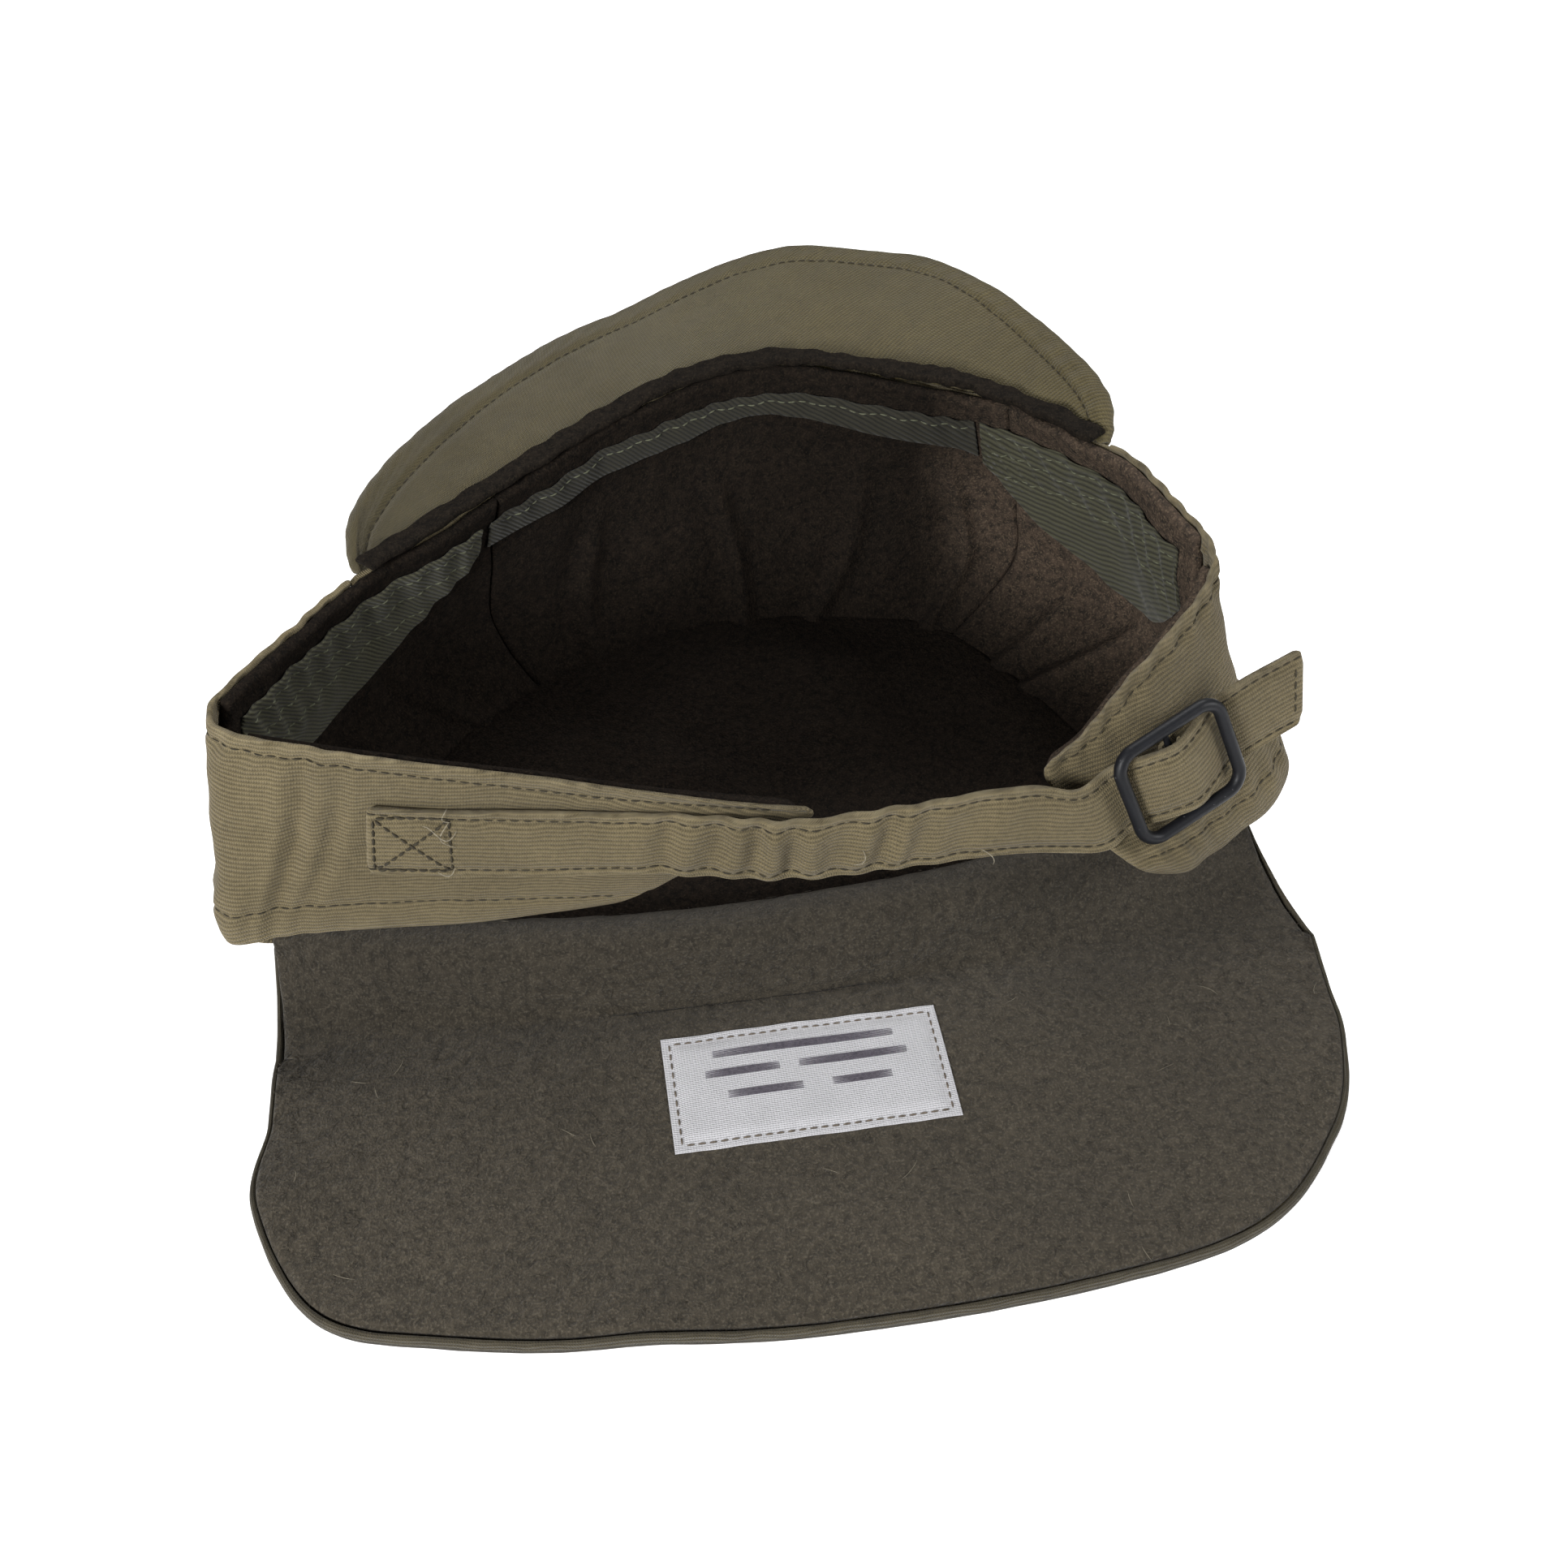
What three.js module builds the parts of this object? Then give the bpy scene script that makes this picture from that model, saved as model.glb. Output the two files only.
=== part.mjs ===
// Soft cloth deck cap: corded cotton outside, wool lining, short cloth-covered visor, rear
// adjusting strap with a slide buckle, and a fold-out neck flap.
// The cap stands upside down on its crown, with the neck flap laid out flat behind it.
// Millimetres, +Z up, +Y towards the visor, origin on the floor under the middle of the whole.
import * as THREE from "three";

// ---- Driving dimensions --------------------------------------------------------------------
const CLOTH = 1.4; // corded cotton outer cloth
const WOOL = 2.2; // wool lining
const TWILL = 0.8; // cotton twill facing inside the rim
const GAP = 0.3; // air between touching pieces
const LOFT = 0.7; // air between the layers of a curved wall
const LINING_FACE = CLOTH + LOFT; // depth of the lining's outer face below the cloth's outer face
const FACING_FACE = LINING_FACE + WOOL + LOFT; // depth of the facing's outer face
const ORIGIN_SHIFT = new THREE.Vector3(7.7, 13, 0); // from the head's middle to the footprint's

const BAND_SEAM = 0.345; // height share of the seam between the crown and the band
const FLOOR_INSET = 0.945; // the crown's flat top ends just inside the wall's foot

const VISOR_COVER = 1.2;
const VISOR_BOARD = 1.6;
const VISOR_STEP = 1.5; // the visor hangs this far below the rim's edge
const VISOR_CLEAR = 2.6; // from the band's face to the visor's root
const VISOR_ROLL = 2.4; // radius of the rolled cloth edge

const STRAP_WIDTH = 16;
const STRAP_THICK = 1.8;
const BUCKLE_LENGTH = 27; // along the strap, outside
const BUCKLE_HEIGHT = 24; // across the strap, outside
const BUCKLE_WIRE = 1.35; // wire radius
const BUCKLE_CORNER = 4.2; // corner radius at the wire's middle
const BAR_RADIUS = 0.9;
const BAR_DROP = 1.2; // the middle bar sits behind the frame's plane
const TAB_THICK = 0.8;

const HINGE_Y = -65; // the neck flap folds along this line
const HINGE_CLEAR = 0.4;
const LABEL = { width: 57, depth: 27, thick: 0.5, x: -8.5, y: -85.7 };

const v3 = (x, y, z) => new THREE.Vector3(x, y, z);
const vectors = (points) => points.map((p) => v3(...p));

// ---- The cap's wall ------------------------------------------------------------------------
// Stations run round the cap from the front's middle by the left side (-X), the back and the
// right side (+X). Each gives the cloth's outer face at the rim, at two heights between, and at
// the floor.
const STATIONS = [
  { rim: [9, 67.5, 73], waist: [8, 68, 46], belly: [5, 65, 20], floor: [0, 57, 0] },
  { rim: [-18.5, 63, 71], waist: [-19, 65, 45], belly: [-22, 62, 20], floor: [-24, 55, 0] },
  { rim: [-53, 44.5, 65], waist: [-56, 49, 44], belly: [-58, 50, 20], floor: [-50, 44, 0] },
  { rim: [-91, 15, 62], waist: [-95, 20, 43], belly: [-95, 22, 20], floor: [-76, 22, 0] },
  { rim: [-107, -7, 63.5], waist: [-111, -7, 43], belly: [-113, -7, 20], floor: [-90, -4, 0] },
  { rim: [-116, -28, 66], waist: [-119.5, -38, 43], belly: [-120.5, -44, 20], floor: [-99, -32, 0] },
  { rim: [-97, -39, 65], waist: [-100, -43.5, 43], belly: [-105, -48.5, 21], floor: [-84, -40, 0] },
  { rim: [-61, -47.6, 61], waist: [-62, -51, 42], belly: [-62.5, -54, 24], floor: [-48, -45, 0] },
  { rim: [0, -57.3, 51], waist: [-4, -58, 41], belly: [-8, -58, 29], floor: [0, -46, 0] },
  { rim: [42, -53.5, 52], waist: [51, -58.5, 40], belly: [61, -65, 29], floor: [42, -41, 0] },
  { rim: [64, -41, 64], waist: [73, -48, 45], belly: [84, -56.5, 23], floor: [64, -32, 0] },
  { rim: [88, -18.5, 71], waist: [92, -31, 46], belly: [106, -35, 24], floor: [82, -22, 0] },
  { rim: [83, 2, 74], waist: [90, 2, 46], belly: [98, 1, 20], floor: [72, 3, 0] },
  { rim: [75.7, 20.4, 74], waist: [84, 26, 46], belly: [87, 28, 20], floor: [61, 26, 0] },
  { rim: [56, 48, 72], waist: [62, 54, 46], belly: [63, 54, 20], floor: [47, 46, 0] },
  { rim: [35.5, 59, 72.5], waist: [36, 62, 46], belly: [35, 60, 20], floor: [25, 54, 0] },
];
const VISOR_LEFT = 3; // stations of the visor's two ends
const VISOR_RIGHT = 13;
const LEFT_CORNER = 5; // stations where the side turns into the back
const RIGHT_CORNER = 11;
const LEFT_TIP = 8; // stations of the two wings' ends
const RIGHT_END = 9;
const LEFT_SIDE = 2.2; // stations where the front panel meets the side panels
const RIGHT_SIDE = 13.8;
const ROUND = STATIONS.length;
const LEVELS = ["floor", "belly", "waist", "rim"];

const ring = (points, closed) => new THREE.CatmullRomCurve3(points, closed, "catmullrom", 0.5);
const RINGS = LEVELS.map((level) => ring(vectors(STATIONS.map((s) => s[level])), true));

// A point on the wall's outer face: station 0 to 16 round, share 0 at the floor to 1 at the rim.
function wall(station, share) {
  const around = (((station % ROUND) + ROUND) % ROUND) / ROUND;
  const points = RINGS.map((curve) => curve.getPoint(around));
  const inner = points[0].clone().multiply(v3(0.8, 0.8, 1));
  return ring([inner, ...points], false).getPoint((1 + 3 * share) / 4);
}

// The crown's low back edge, from the left corner to the right corner, one point a station.
const BACK_EDGE = ring(vectors([
  [-113, -40, 12], [-98, -44.5, 12.5], [-54, -51.5, 12.5], [0, -52.5, 12.5],
  [46, -47, 12.5], [73, -40, 12.5], [97, -31, 12],
]), false);
const backEdge = (station) => BACK_EDGE.getPoint((station - LEFT_CORNER) / (RIGHT_CORNER - LEFT_CORNER));

// ---- Solids from surfaces --------------------------------------------------------------------
function solid(positions, triangles) {
  const geometry = new THREE.BufferGeometry();
  geometry.setAttribute("position", new THREE.Float32BufferAttribute(positions, 3));
  geometry.setIndex(triangles);
  if (signedVolume(positions, triangles) < 0) {
    geometry.setIndex(triangles.slice().reverse());
  }
  geometry.computeVertexNormals();
  return geometry;
}

function signedVolume(positions, triangles) {
  const corner = (i) => v3(positions[3 * i], positions[3 * i + 1], positions[3 * i + 2]);
  let volume = 0;
  for (let i = 0; i < triangles.length; i += 3) {
    const [a, b, c] = [corner(triangles[i]), corner(triangles[i + 1]), corner(triangles[i + 2])];
    volume += a.dot(b.cross(c)) / 6;
  }
  return volume;
}

// The unit normal of surface(a, b) over the unit square, along (a direction) x (b direction).
function normalAt(surface, a, b) {
  const step = 0.01;
  const alongA = surface(Math.min(a + step, 1), b).sub(surface(Math.max(a - step, 0), b));
  const alongB = surface(a, Math.min(b + step, 1)).sub(surface(a, Math.max(b - step, 0)));
  return alongA.cross(alongB).normalize();
}

// A cloth layer: surface(a, b) over the unit square, thickened from low to high mm along its normal.
function sheet(surface, countA, countB, low, high) {
  const positions = [];
  for (const lift of [low, high]) {
    for (let j = 0; j <= countB; j++) {
      for (let i = 0; i <= countA; i++) {
        const [a, b] = [i / countA, j / countB];
        const point = surface(a, b).addScaledVector(normalAt(surface, a, b), lift);
        positions.push(...point.toArray());
      }
    }
  }
  const row = countA + 1;
  const upper = row * (countB + 1);
  const triangles = [];
  const quad = (p, q, r, s) => triangles.push(p, q, r, p, r, s);
  for (let j = 0; j < countB; j++) {
    for (let i = 0; i < countA; i++) {
      const k = j * row + i;
      quad(k, k + row, k + row + 1, k + 1);
      quad(upper + k, upper + k + 1, upper + k + row + 1, upper + k + row);
    }
  }
  for (let i = 0; i < countA; i++) {
    const last = countB * row + i;
    quad(i, i + 1, upper + i + 1, upper + i);
    quad(last + 1, last, upper + last, upper + last + 1);
  }
  for (let j = 0; j < countB; j++) {
    const first = j * row;
    const last = first + countA;
    quad(first + row, first, upper + first, upper + first + row);
    quad(last, last + row, upper + last + row, upper + last);
  }
  return solid(positions, triangles);
}

// A solid through a run of equal polygons; loop joins the last to the first, else the ends are capped.
function loft(polygons, loop) {
  const sides = polygons[0].length;
  const positions = polygons.flat().flatMap((p) => p.toArray());
  const triangles = [];
  const spans = loop ? polygons.length : polygons.length - 1;
  for (let i = 0; i < spans; i++) {
    const [here, next] = [i * sides, ((i + 1) % polygons.length) * sides];
    for (let j = 0; j < sides; j++) {
      const k = (j + 1) % sides;
      triangles.push(here + j, here + k, next + k, here + j, next + k, next + j);
    }
  }
  for (let j = 1; j < sides - 1 && !loop; j++) {
    const end = spans * sides;
    triangles.push(0, j + 1, j, end, end + j, end + j + 1);
  }
  return solid(positions, triangles);
}

// ---- Surfaces of the pieces ------------------------------------------------------------------
const mix = THREE.MathUtils.lerp;

// Part of the wall between two stations and two height shares.
const wallPatch = (from, to, low, high) => (a, b) => wall(mix(from, to, a), mix(low, high, b));

// The crown's flat top: a plate in the shape of the floor ring, drawn in by inset.
function crownTop(inset, bottom, thick) {
  const outline = [];
  for (let i = 0; i < 3 * ROUND; i++) {
    const point = wall(i / 3, 0).multiplyScalar(inset);
    outline.push(new THREE.Vector2(point.x, point.y));
  }
  const plate = new THREE.ExtrudeGeometry(new THREE.Shape(outline), { depth: thick, bevelEnabled: false });
  return plate.translate(0, 0, bottom);
}

// The crown's low back wall, up to the edge that the neck flap hangs from.
function crownBack(a, b) {
  const station = mix(LEFT_CORNER + 0.04, RIGHT_CORNER - 0.04, a);
  return wall(station, 0.02).lerp(backEdge(station), b);
}

// Wings: bands round the back, sewn on as far as the corners and free beyond them.
function leftWing(a, b) {
  const station = mix(VISOR_LEFT + 0.03, mix(LEFT_TIP - 0.5, LEFT_TIP, b), a);
  return wall(station, mix(BAND_SEAM + 0.015 + 0.05 * a ** 6, 1, b));
}

function rightWing(a, b) {
  return wall(mix(RIGHT_END, VISOR_RIGHT - 0.03, a), mix(BAND_SEAM + 0.015, 1, b));
}

// The visor's finished outer edge, from its right end round the front to its left end.
const VISOR_EDGE = ring(vectors([
  [76, 27, 78], [75.5, 44, 81.5], [67.4, 74, 80.5], [54.5, 98.5, 79], [36, 111, 77],
  [12, 114, 77], [-21.3, 99.9, 74], [-59, 76.3, 71], [-83.2, 47.5, 69], [-92.5, 27, 66],
]), false);

// The visor's visible face: a from its right end to its left end, b from its root to its edge.
function visor(a, b) {
  const span = (share) => wall(mix(VISOR_RIGHT + 0.1, ROUND + VISOR_LEFT - 0.1, share), 1);
  const along = span(Math.min(a + 0.01, 1)).sub(span(Math.max(a - 0.01, 0)));
  const outward = v3(along.y, -along.x, 0).normalize();
  const root = span(a).addScaledVector(outward, VISOR_CLEAR).sub(v3(0, 0, VISOR_STEP));
  const edge = VISOR_EDGE.getPointAt(a);
  const reach = root.distanceTo(edge);
  return root.lerp(edge, b * (reach - VISOR_ROLL - LOFT) / reach);
}

// ---- The neck flap ---------------------------------------------------------------------------
// The hem, from the flap's right side round the back to its left side.
const FLAP_HEM = ring(vectors([
  [105, HINGE_Y, 0], [103, -79, 0], [100.5, -94, 0], [91, -113.5, 0], [66, -132, 0], [13, -138, 0],
  [-48, -135.5, 0], [-82, -129.5, 0], [-104.5, -121.5, 0], [-116, -99, 0], [-114.5, -80, 0],
  [-114, HINGE_Y, 0],
]), false);
const FLAP_TOP = LINING_FACE + WOOL; // height of the flap's wool face above the floor

function flap(a, b) {
  const root = v3(mix(103, -112, a), HINGE_Y - HINGE_CLEAR, 0);
  const hem = FLAP_HEM.getPointAt(a);
  hem.y = Math.min(hem.y, root.y);
  return root.lerp(hem, b);
}

// The gusset that stays with the crown and hangs the flap: it drops from the back edge to the floor.
function flapRoot(a, b) {
  const top = backEdge(mix(RIGHT_CORNER, LEFT_CORNER, a)).add(v3(0, -2, -1));
  const foot = v3(mix(106, -115.5, a), HINGE_Y + HINGE_CLEAR, 0);
  const point = top.clone().lerp(foot, b);
  point.z = top.z * (1 - b) ** 2;
  return point;
}

// ---- The buckle and the strap ----------------------------------------------------------------
const BUCKLE_CENTRE = v3(70.4, -57, 50.3);
const BUCKLE_HEADING = THREE.MathUtils.degToRad(15); // plan direction of the strap through it
const BUCKLE_TILT = THREE.MathUtils.degToRad(22); // its face looks up by this much
const BUCKLE_ROLL = THREE.MathUtils.degToRad(16); // the strap climbs towards its tail by this much

function buckleAxes() {
  const [flat, rise] = [Math.cos(BUCKLE_TILT), Math.sin(BUCKLE_TILT)];
  const out = v3(Math.sin(BUCKLE_HEADING) * flat, -Math.cos(BUCKLE_HEADING) * flat, rise);
  const along = v3(Math.cos(BUCKLE_HEADING), Math.sin(BUCKLE_HEADING), 0);
  along.applyAxisAngle(out, BUCKLE_ROLL);
  return { along, up: out.clone().cross(along), out };
}
const AXES = buckleAxes();

function inBuckle(along, up, out) {
  const point = BUCKLE_CENTRE.clone().addScaledVector(AXES.along, along);
  return point.addScaledVector(AXES.up, up).addScaledVector(AXES.out, out);
}

// The round-wire frame: a rounded rectangle, loop-lofted with an octagon section.
function buckleFrame() {
  const [halfLength, halfHeight] = [BUCKLE_LENGTH / 2 - BUCKLE_WIRE, BUCKLE_HEIGHT / 2 - BUCKLE_WIRE];
  const [cornersPer, sides] = [4, 8];
  const polygons = [];
  for (let corner = 0; corner < 4; corner++) {
    const centreX = (halfLength - BUCKLE_CORNER) * (corner === 0 || corner === 3 ? 1 : -1);
    const centreY = (halfHeight - BUCKLE_CORNER) * (corner < 2 ? 1 : -1);
    for (let i = 0; i <= cornersPer; i++) {
      const turn = (corner + i / cornersPer) * Math.PI / 2;
      const polygon = [];
      for (let j = 0; j < sides; j++) {
        const roll = j / sides * 2 * Math.PI;
        const reach = BUCKLE_CORNER + BUCKLE_WIRE * Math.cos(roll);
        const [x, y] = [centreX + reach * Math.cos(turn), centreY + reach * Math.sin(turn)];
        polygon.push(inBuckle(x, y, BUCKLE_WIRE * Math.sin(roll)));
      }
      polygons.push(polygon);
    }
  }
  return loft(polygons, true);
}

function buckleBar() {
  const length = BUCKLE_HEIGHT - 4 * BUCKLE_WIRE - 2 * GAP;
  const bar = new THREE.CylinderGeometry(BAR_RADIUS, BAR_RADIUS, length, 10);
  const basis = new THREE.Matrix4().makeBasis(AXES.along, AXES.up, AXES.out);
  return bar.applyMatrix4(basis.setPosition(inBuckle(0, 0, -BAR_DROP)));
}

// A ribbon through points [along, out] in the buckle's frame, as wide as the strap.
function buckleRibbon(path, width) {
  const curve = ring(path.map(([along, out]) => v3(along, 0, out)), false);
  return (a, b) => {
    const point = curve.getPointAt(a);
    return inBuckle(point.x, width * (b - 0.5), point.z);
  };
}

// The tab: a cloth loop sewn to the right wing, which holds the buckle's middle bar.
const TAB_PATH = [
  [14, -5.6], [8, -5.0], [3, -3.8], [0, -2.9], [-1.2, -2.4], [-1.75, -1.2], [-1.2, 0.05],
  [0, 0.5], [1.4, 0], [2.8, -1.5],
];

// Wall point lifted off the left wing by the strap's thickness.
function onLeftWing(station, share) {
  const round = (a, b) => wall(station - 0.5 + a, share - 0.05 + b * 0.1);
  return wall(station, share).addScaledVector(normalAt(round, 0.5, 0.5), GAP + STRAP_THICK);
}

// The strap's outer face, as its lower and upper edges: sewn along the left wing, free across the
// back, then behind the buckle's near side, over its bar and behind its far side.
const half = STRAP_WIDTH / 2;
const STRAP_LOWER = ring([
  onLeftWing(6.35, 0.6), onLeftWing(6.7, 0.6), onLeftWing(7.1, 0.59), onLeftWing(7.5, 0.58),
  v3(-8, -61.2, 36.3), v3(16, -62, 36.8), v3(38, -62.6, 37.6), inBuckle(-20.5, -half, -2.2),
  inBuckle(-12, -half, -2.5), inBuckle(-6, -half, 0.8), inBuckle(0, -half, 2.9),
  inBuckle(6, -half, 0.8), inBuckle(12, -half, -2.5), inBuckle(14.2, -half, -2.6),
], false);
const STRAP_UPPER = ring([
  onLeftWing(6.35, 0.84), onLeftWing(6.7, 0.85), onLeftWing(7.1, 0.88), onLeftWing(7.5, 0.93),
  v3(-8, -60.6, 52.3), v3(16, -60.4, 52.7), v3(38, -59.3, 53.2), inBuckle(-20.5, half, -2.2),
  inBuckle(-12, half, -2.5), inBuckle(-6, half, 0.8), inBuckle(0, half, 2.9),
  inBuckle(6, half, 0.8), inBuckle(12, half, -2.5), inBuckle(14.2, half, -2.6),
], false);
const strap = (a, b) => STRAP_LOWER.getPoint(a).lerp(STRAP_UPPER.getPoint(a), b);

// The strap's free end, with its lower corner clipped.
function strapTail(a, b) {
  const clip = 5 * (1 - b);
  const along = mix(14.9, 34.5 - clip, a);
  return inBuckle(along, STRAP_WIDTH * (b - 0.5) * (1 - 0.06 * a), mix(-2.6, -1.4, a ** 2));
}

// ---- Small trim --------------------------------------------------------------------------------
// Rolled cloth edge round the visor, a half-round solid outside the visor's layers.
function visorRoll() {
  const [count, sides] = [24, 6];
  const middle = VISOR_COVER + GAP + VISOR_BOARD / 2;
  const polygons = [];
  for (let i = 0; i <= count; i++) {
    const a = i / count;
    const down = normalAt(visor, a, 1);
    const along = visor(Math.max(a - 0.01, 0), 1).sub(visor(Math.min(a + 0.01, 1), 1)).normalize();
    const outward = down.clone().cross(along).negate();
    const centre = visor(a, 1).addScaledVector(outward, LOFT).addScaledVector(down, middle);
    const polygon = [];
    for (let j = 0; j <= sides; j++) {
      const turn = (j / sides - 0.5) * Math.PI;
      const point = centre.clone().addScaledVector(outward, VISOR_ROLL * Math.cos(turn));
      polygon.push(point.addScaledVector(down, VISOR_ROLL * Math.sin(turn)));
    }
    polygons.push(polygon);
  }
  return loft(polygons, false);
}

// Wool strip that lies along the rim's top edge, over the seam between the visor and the band.
function rootWelt(a, b) {
  const station = mix(VISOR_RIGHT + 0.15, ROUND + VISOR_LEFT - 0.15, a);
  const inside = wall(station - 0.02, 1);
  const along = wall(station + 0.02, 1).sub(inside);
  const outward = v3(along.y, -along.x, 0).normalize();
  return wall(station, 1).addScaledVector(outward, mix(-LINING_FACE - WOOL, VISOR_CLEAR - 0.6, b))
    .add(v3(0, 0, GAP));
}

// Twill facing: narrow under the visor, deeper at each side.
function facing(from, to, depthAt) {
  return (a, b) => {
    const station = mix(from, to, a);
    return wall(station, mix(0.96 - depthAt(a), 0.96, b));
  };
}
const sideDepth = (a) => 0.16 + 0.3 * Math.sin(Math.PI * a) ** 0.8;

function flapBinding() {
  const [count, height, width] = [48, FLAP_TOP - 0.4, 1.2];
  const polygons = [];
  for (let i = 0; i <= count; i++) {
    const a = i / count;
    const hem = FLAP_HEM.getPointAt(a);
    hem.y = Math.min(hem.y, HINGE_Y - HINGE_CLEAR);
    const along = FLAP_HEM.getTangentAt(a);
    const outward = v3(-along.y, along.x, 0);
    const near = hem.clone().addScaledVector(outward, GAP);
    const far = hem.clone().addScaledVector(outward, GAP + width);
    const lift = v3(0, 0, height);
    polygons.push([near, far, far.clone().add(lift), near.clone().add(lift)]);
  }
  return loft(polygons, false);
}

function labelPlate() {
  const plate = new THREE.BoxGeometry(LABEL.width, LABEL.depth, LABEL.thick);
  return plate.translate(LABEL.x, LABEL.y, FLAP_TOP + GAP + LABEL.thick / 2);
}

// ---- Materials ---------------------------------------------------------------------------------
const material = (color, roughness, metalness = 0) =>
  new THREE.MeshStandardMaterial({ color, roughness, metalness });
const CORDED_COTTON = material(0x857a5c, 0.95);
const WOOL_CLOTH = material(0x3f372b, 1);
const COTTON_TWILL = material(0x5c604c, 0.9);
const BUCKRAM = material(0xb9ae95, 0.9);
const LABEL_TAPE = material(0xe3e3e2, 0.8);
const BLACK_ENAMEL = material(0x1d2024, 0.45, 0.6);

// ---- Assembly ----------------------------------------------------------------------------------
const cap = new THREE.Group();
cap.position.copy(ORIGIN_SHIFT);

function add(name, geometry, finish) {
  const mesh = new THREE.Mesh(geometry, finish);
  mesh.name = name;
  cap.add(mesh);
}

const outer = (name, surface, countA, countB) =>
  add(name, sheet(surface, countA, countB, -CLOTH, 0), CORDED_COTTON);
const lining = (name, surface, countA, countB) =>
  add(name, sheet(surface, countA, countB, -LINING_FACE - WOOL, -LINING_FACE), WOOL_CLOTH);
const twill = (name, surface, countA, countB) =>
  add(name, sheet(surface, countA, countB, -FACING_FACE - TWILL, -FACING_FACE), COTTON_TWILL);

const SEAM = 0.03; // half a seam's gap, in stations
const FRONT_END = ROUND + LEFT_SIDE;
const crownWall = (from, to) => wallPatch(from + SEAM, to - SEAM, 0.02, BAND_SEAM);
const liningWall = (from, to) => wallPatch(from + SEAM, to - SEAM, 0.06, 0.985);

add("crown_top_outer", crownTop(FLOOR_INSET, 0, CLOTH), CORDED_COTTON);
outer("crown_front_outer", crownWall(RIGHT_SIDE, FRONT_END), 10, 4);
outer("crown_left_outer", crownWall(LEFT_SIDE, LEFT_CORNER), 8, 4);
outer("crown_right_outer", crownWall(RIGHT_CORNER, RIGHT_SIDE), 8, 4);
outer("crown_back_outer", crownBack, 18, 2);
outer("front_band_outer", wallPatch(VISOR_RIGHT + SEAM, ROUND + VISOR_LEFT - SEAM, BAND_SEAM + 0.015, 1), 18, 5);
outer("left_wing_outer", leftWing, 24, 6);
outer("right_wing_outer", rightWing, 20, 6);

add("crown_top_lining", crownTop(FLOOR_INSET - 0.02, LINING_FACE, WOOL), WOOL_CLOTH);
lining("crown_front_lining", liningWall(RIGHT_SIDE, FRONT_END), 12, 8);
lining("crown_left_lining", liningWall(LEFT_SIDE, LEFT_CORNER - 0.3), 8, 8);
lining("crown_right_lining", liningWall(RIGHT_CORNER + 0.35, RIGHT_SIDE), 8, 8);
lining("crown_back_lining", (a, b) => crownBack(mix(0.02, 0.98, a), mix(0.12, 1, b)), 18, 2);
lining("left_wing_lining", (a, b) => leftWing(mix(0.5, 0.985, a), mix(0.03, 0.97, b)), 14, 6);
lining("right_wing_lining", (a, b) => rightWing(mix(0.02, 0.5, a), mix(0.03, 0.97, b)), 12, 6);

twill("sweatband_front", facing(RIGHT_SIDE + 0.3, FRONT_END + 0.05, () => 0.14), 14, 2);
twill("sweatband_left", facing(LEFT_SIDE + 0.1, LEFT_CORNER - 0.45, sideDepth), 8, 4);
twill("sweatband_right", facing(RIGHT_CORNER + 0.6, RIGHT_SIDE + 0.25, sideDepth), 8, 4);

const boardFrom = VISOR_COVER + GAP;
const upperFrom = boardFrom + VISOR_BOARD + GAP;
add("visor_under_cover", sheet(visor, 24, 4, 0, VISOR_COVER), CORDED_COTTON);
add("visor_board", sheet(visor, 24, 4, boardFrom, boardFrom + VISOR_BOARD), BUCKRAM);
add("visor_upper_cover", sheet(visor, 24, 4, upperFrom, upperFrom + VISOR_COVER), CORDED_COTTON);
add("visor_edge_roll", visorRoll(), CORDED_COTTON);
add("visor_root_welt", sheet(rootWelt, 24, 1, -WOOL, 0), WOOL_CLOTH);

add("flap_root_outer", sheet(flapRoot, 18, 3, 0, CLOTH), CORDED_COTTON);
add("flap_root_lining", sheet(flapRoot, 18, 3, LINING_FACE, LINING_FACE + WOOL), WOOL_CLOTH);
add("flap_outer", sheet(flap, 40, 2, 0, CLOTH), CORDED_COTTON);
add("flap_lining", sheet(flap, 40, 2, LINING_FACE, LINING_FACE + WOOL), WOOL_CLOTH);
add("flap_edge_binding", flapBinding(), CORDED_COTTON);
add("size_label", labelPlate(), LABEL_TAPE);

add("strap", sheet(strap, 56, 1, -STRAP_THICK, 0), CORDED_COTTON);
add("strap_tail", sheet(strapTail, 6, 2, -STRAP_THICK, 0), CORDED_COTTON);
const tab = buckleRibbon(TAB_PATH, STRAP_WIDTH - 3);
add("buckle_tab", sheet(tab, 26, 1, -TAB_THICK / 2, TAB_THICK / 2), CORDED_COTTON);
add("buckle_frame", buckleFrame(), BLACK_ENAMEL);
add("buckle_bar", buckleBar(), BLACK_ENAMEL);

export default cap;
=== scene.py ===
import math

import bpy
import numpy as np
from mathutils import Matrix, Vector, noise


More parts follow.
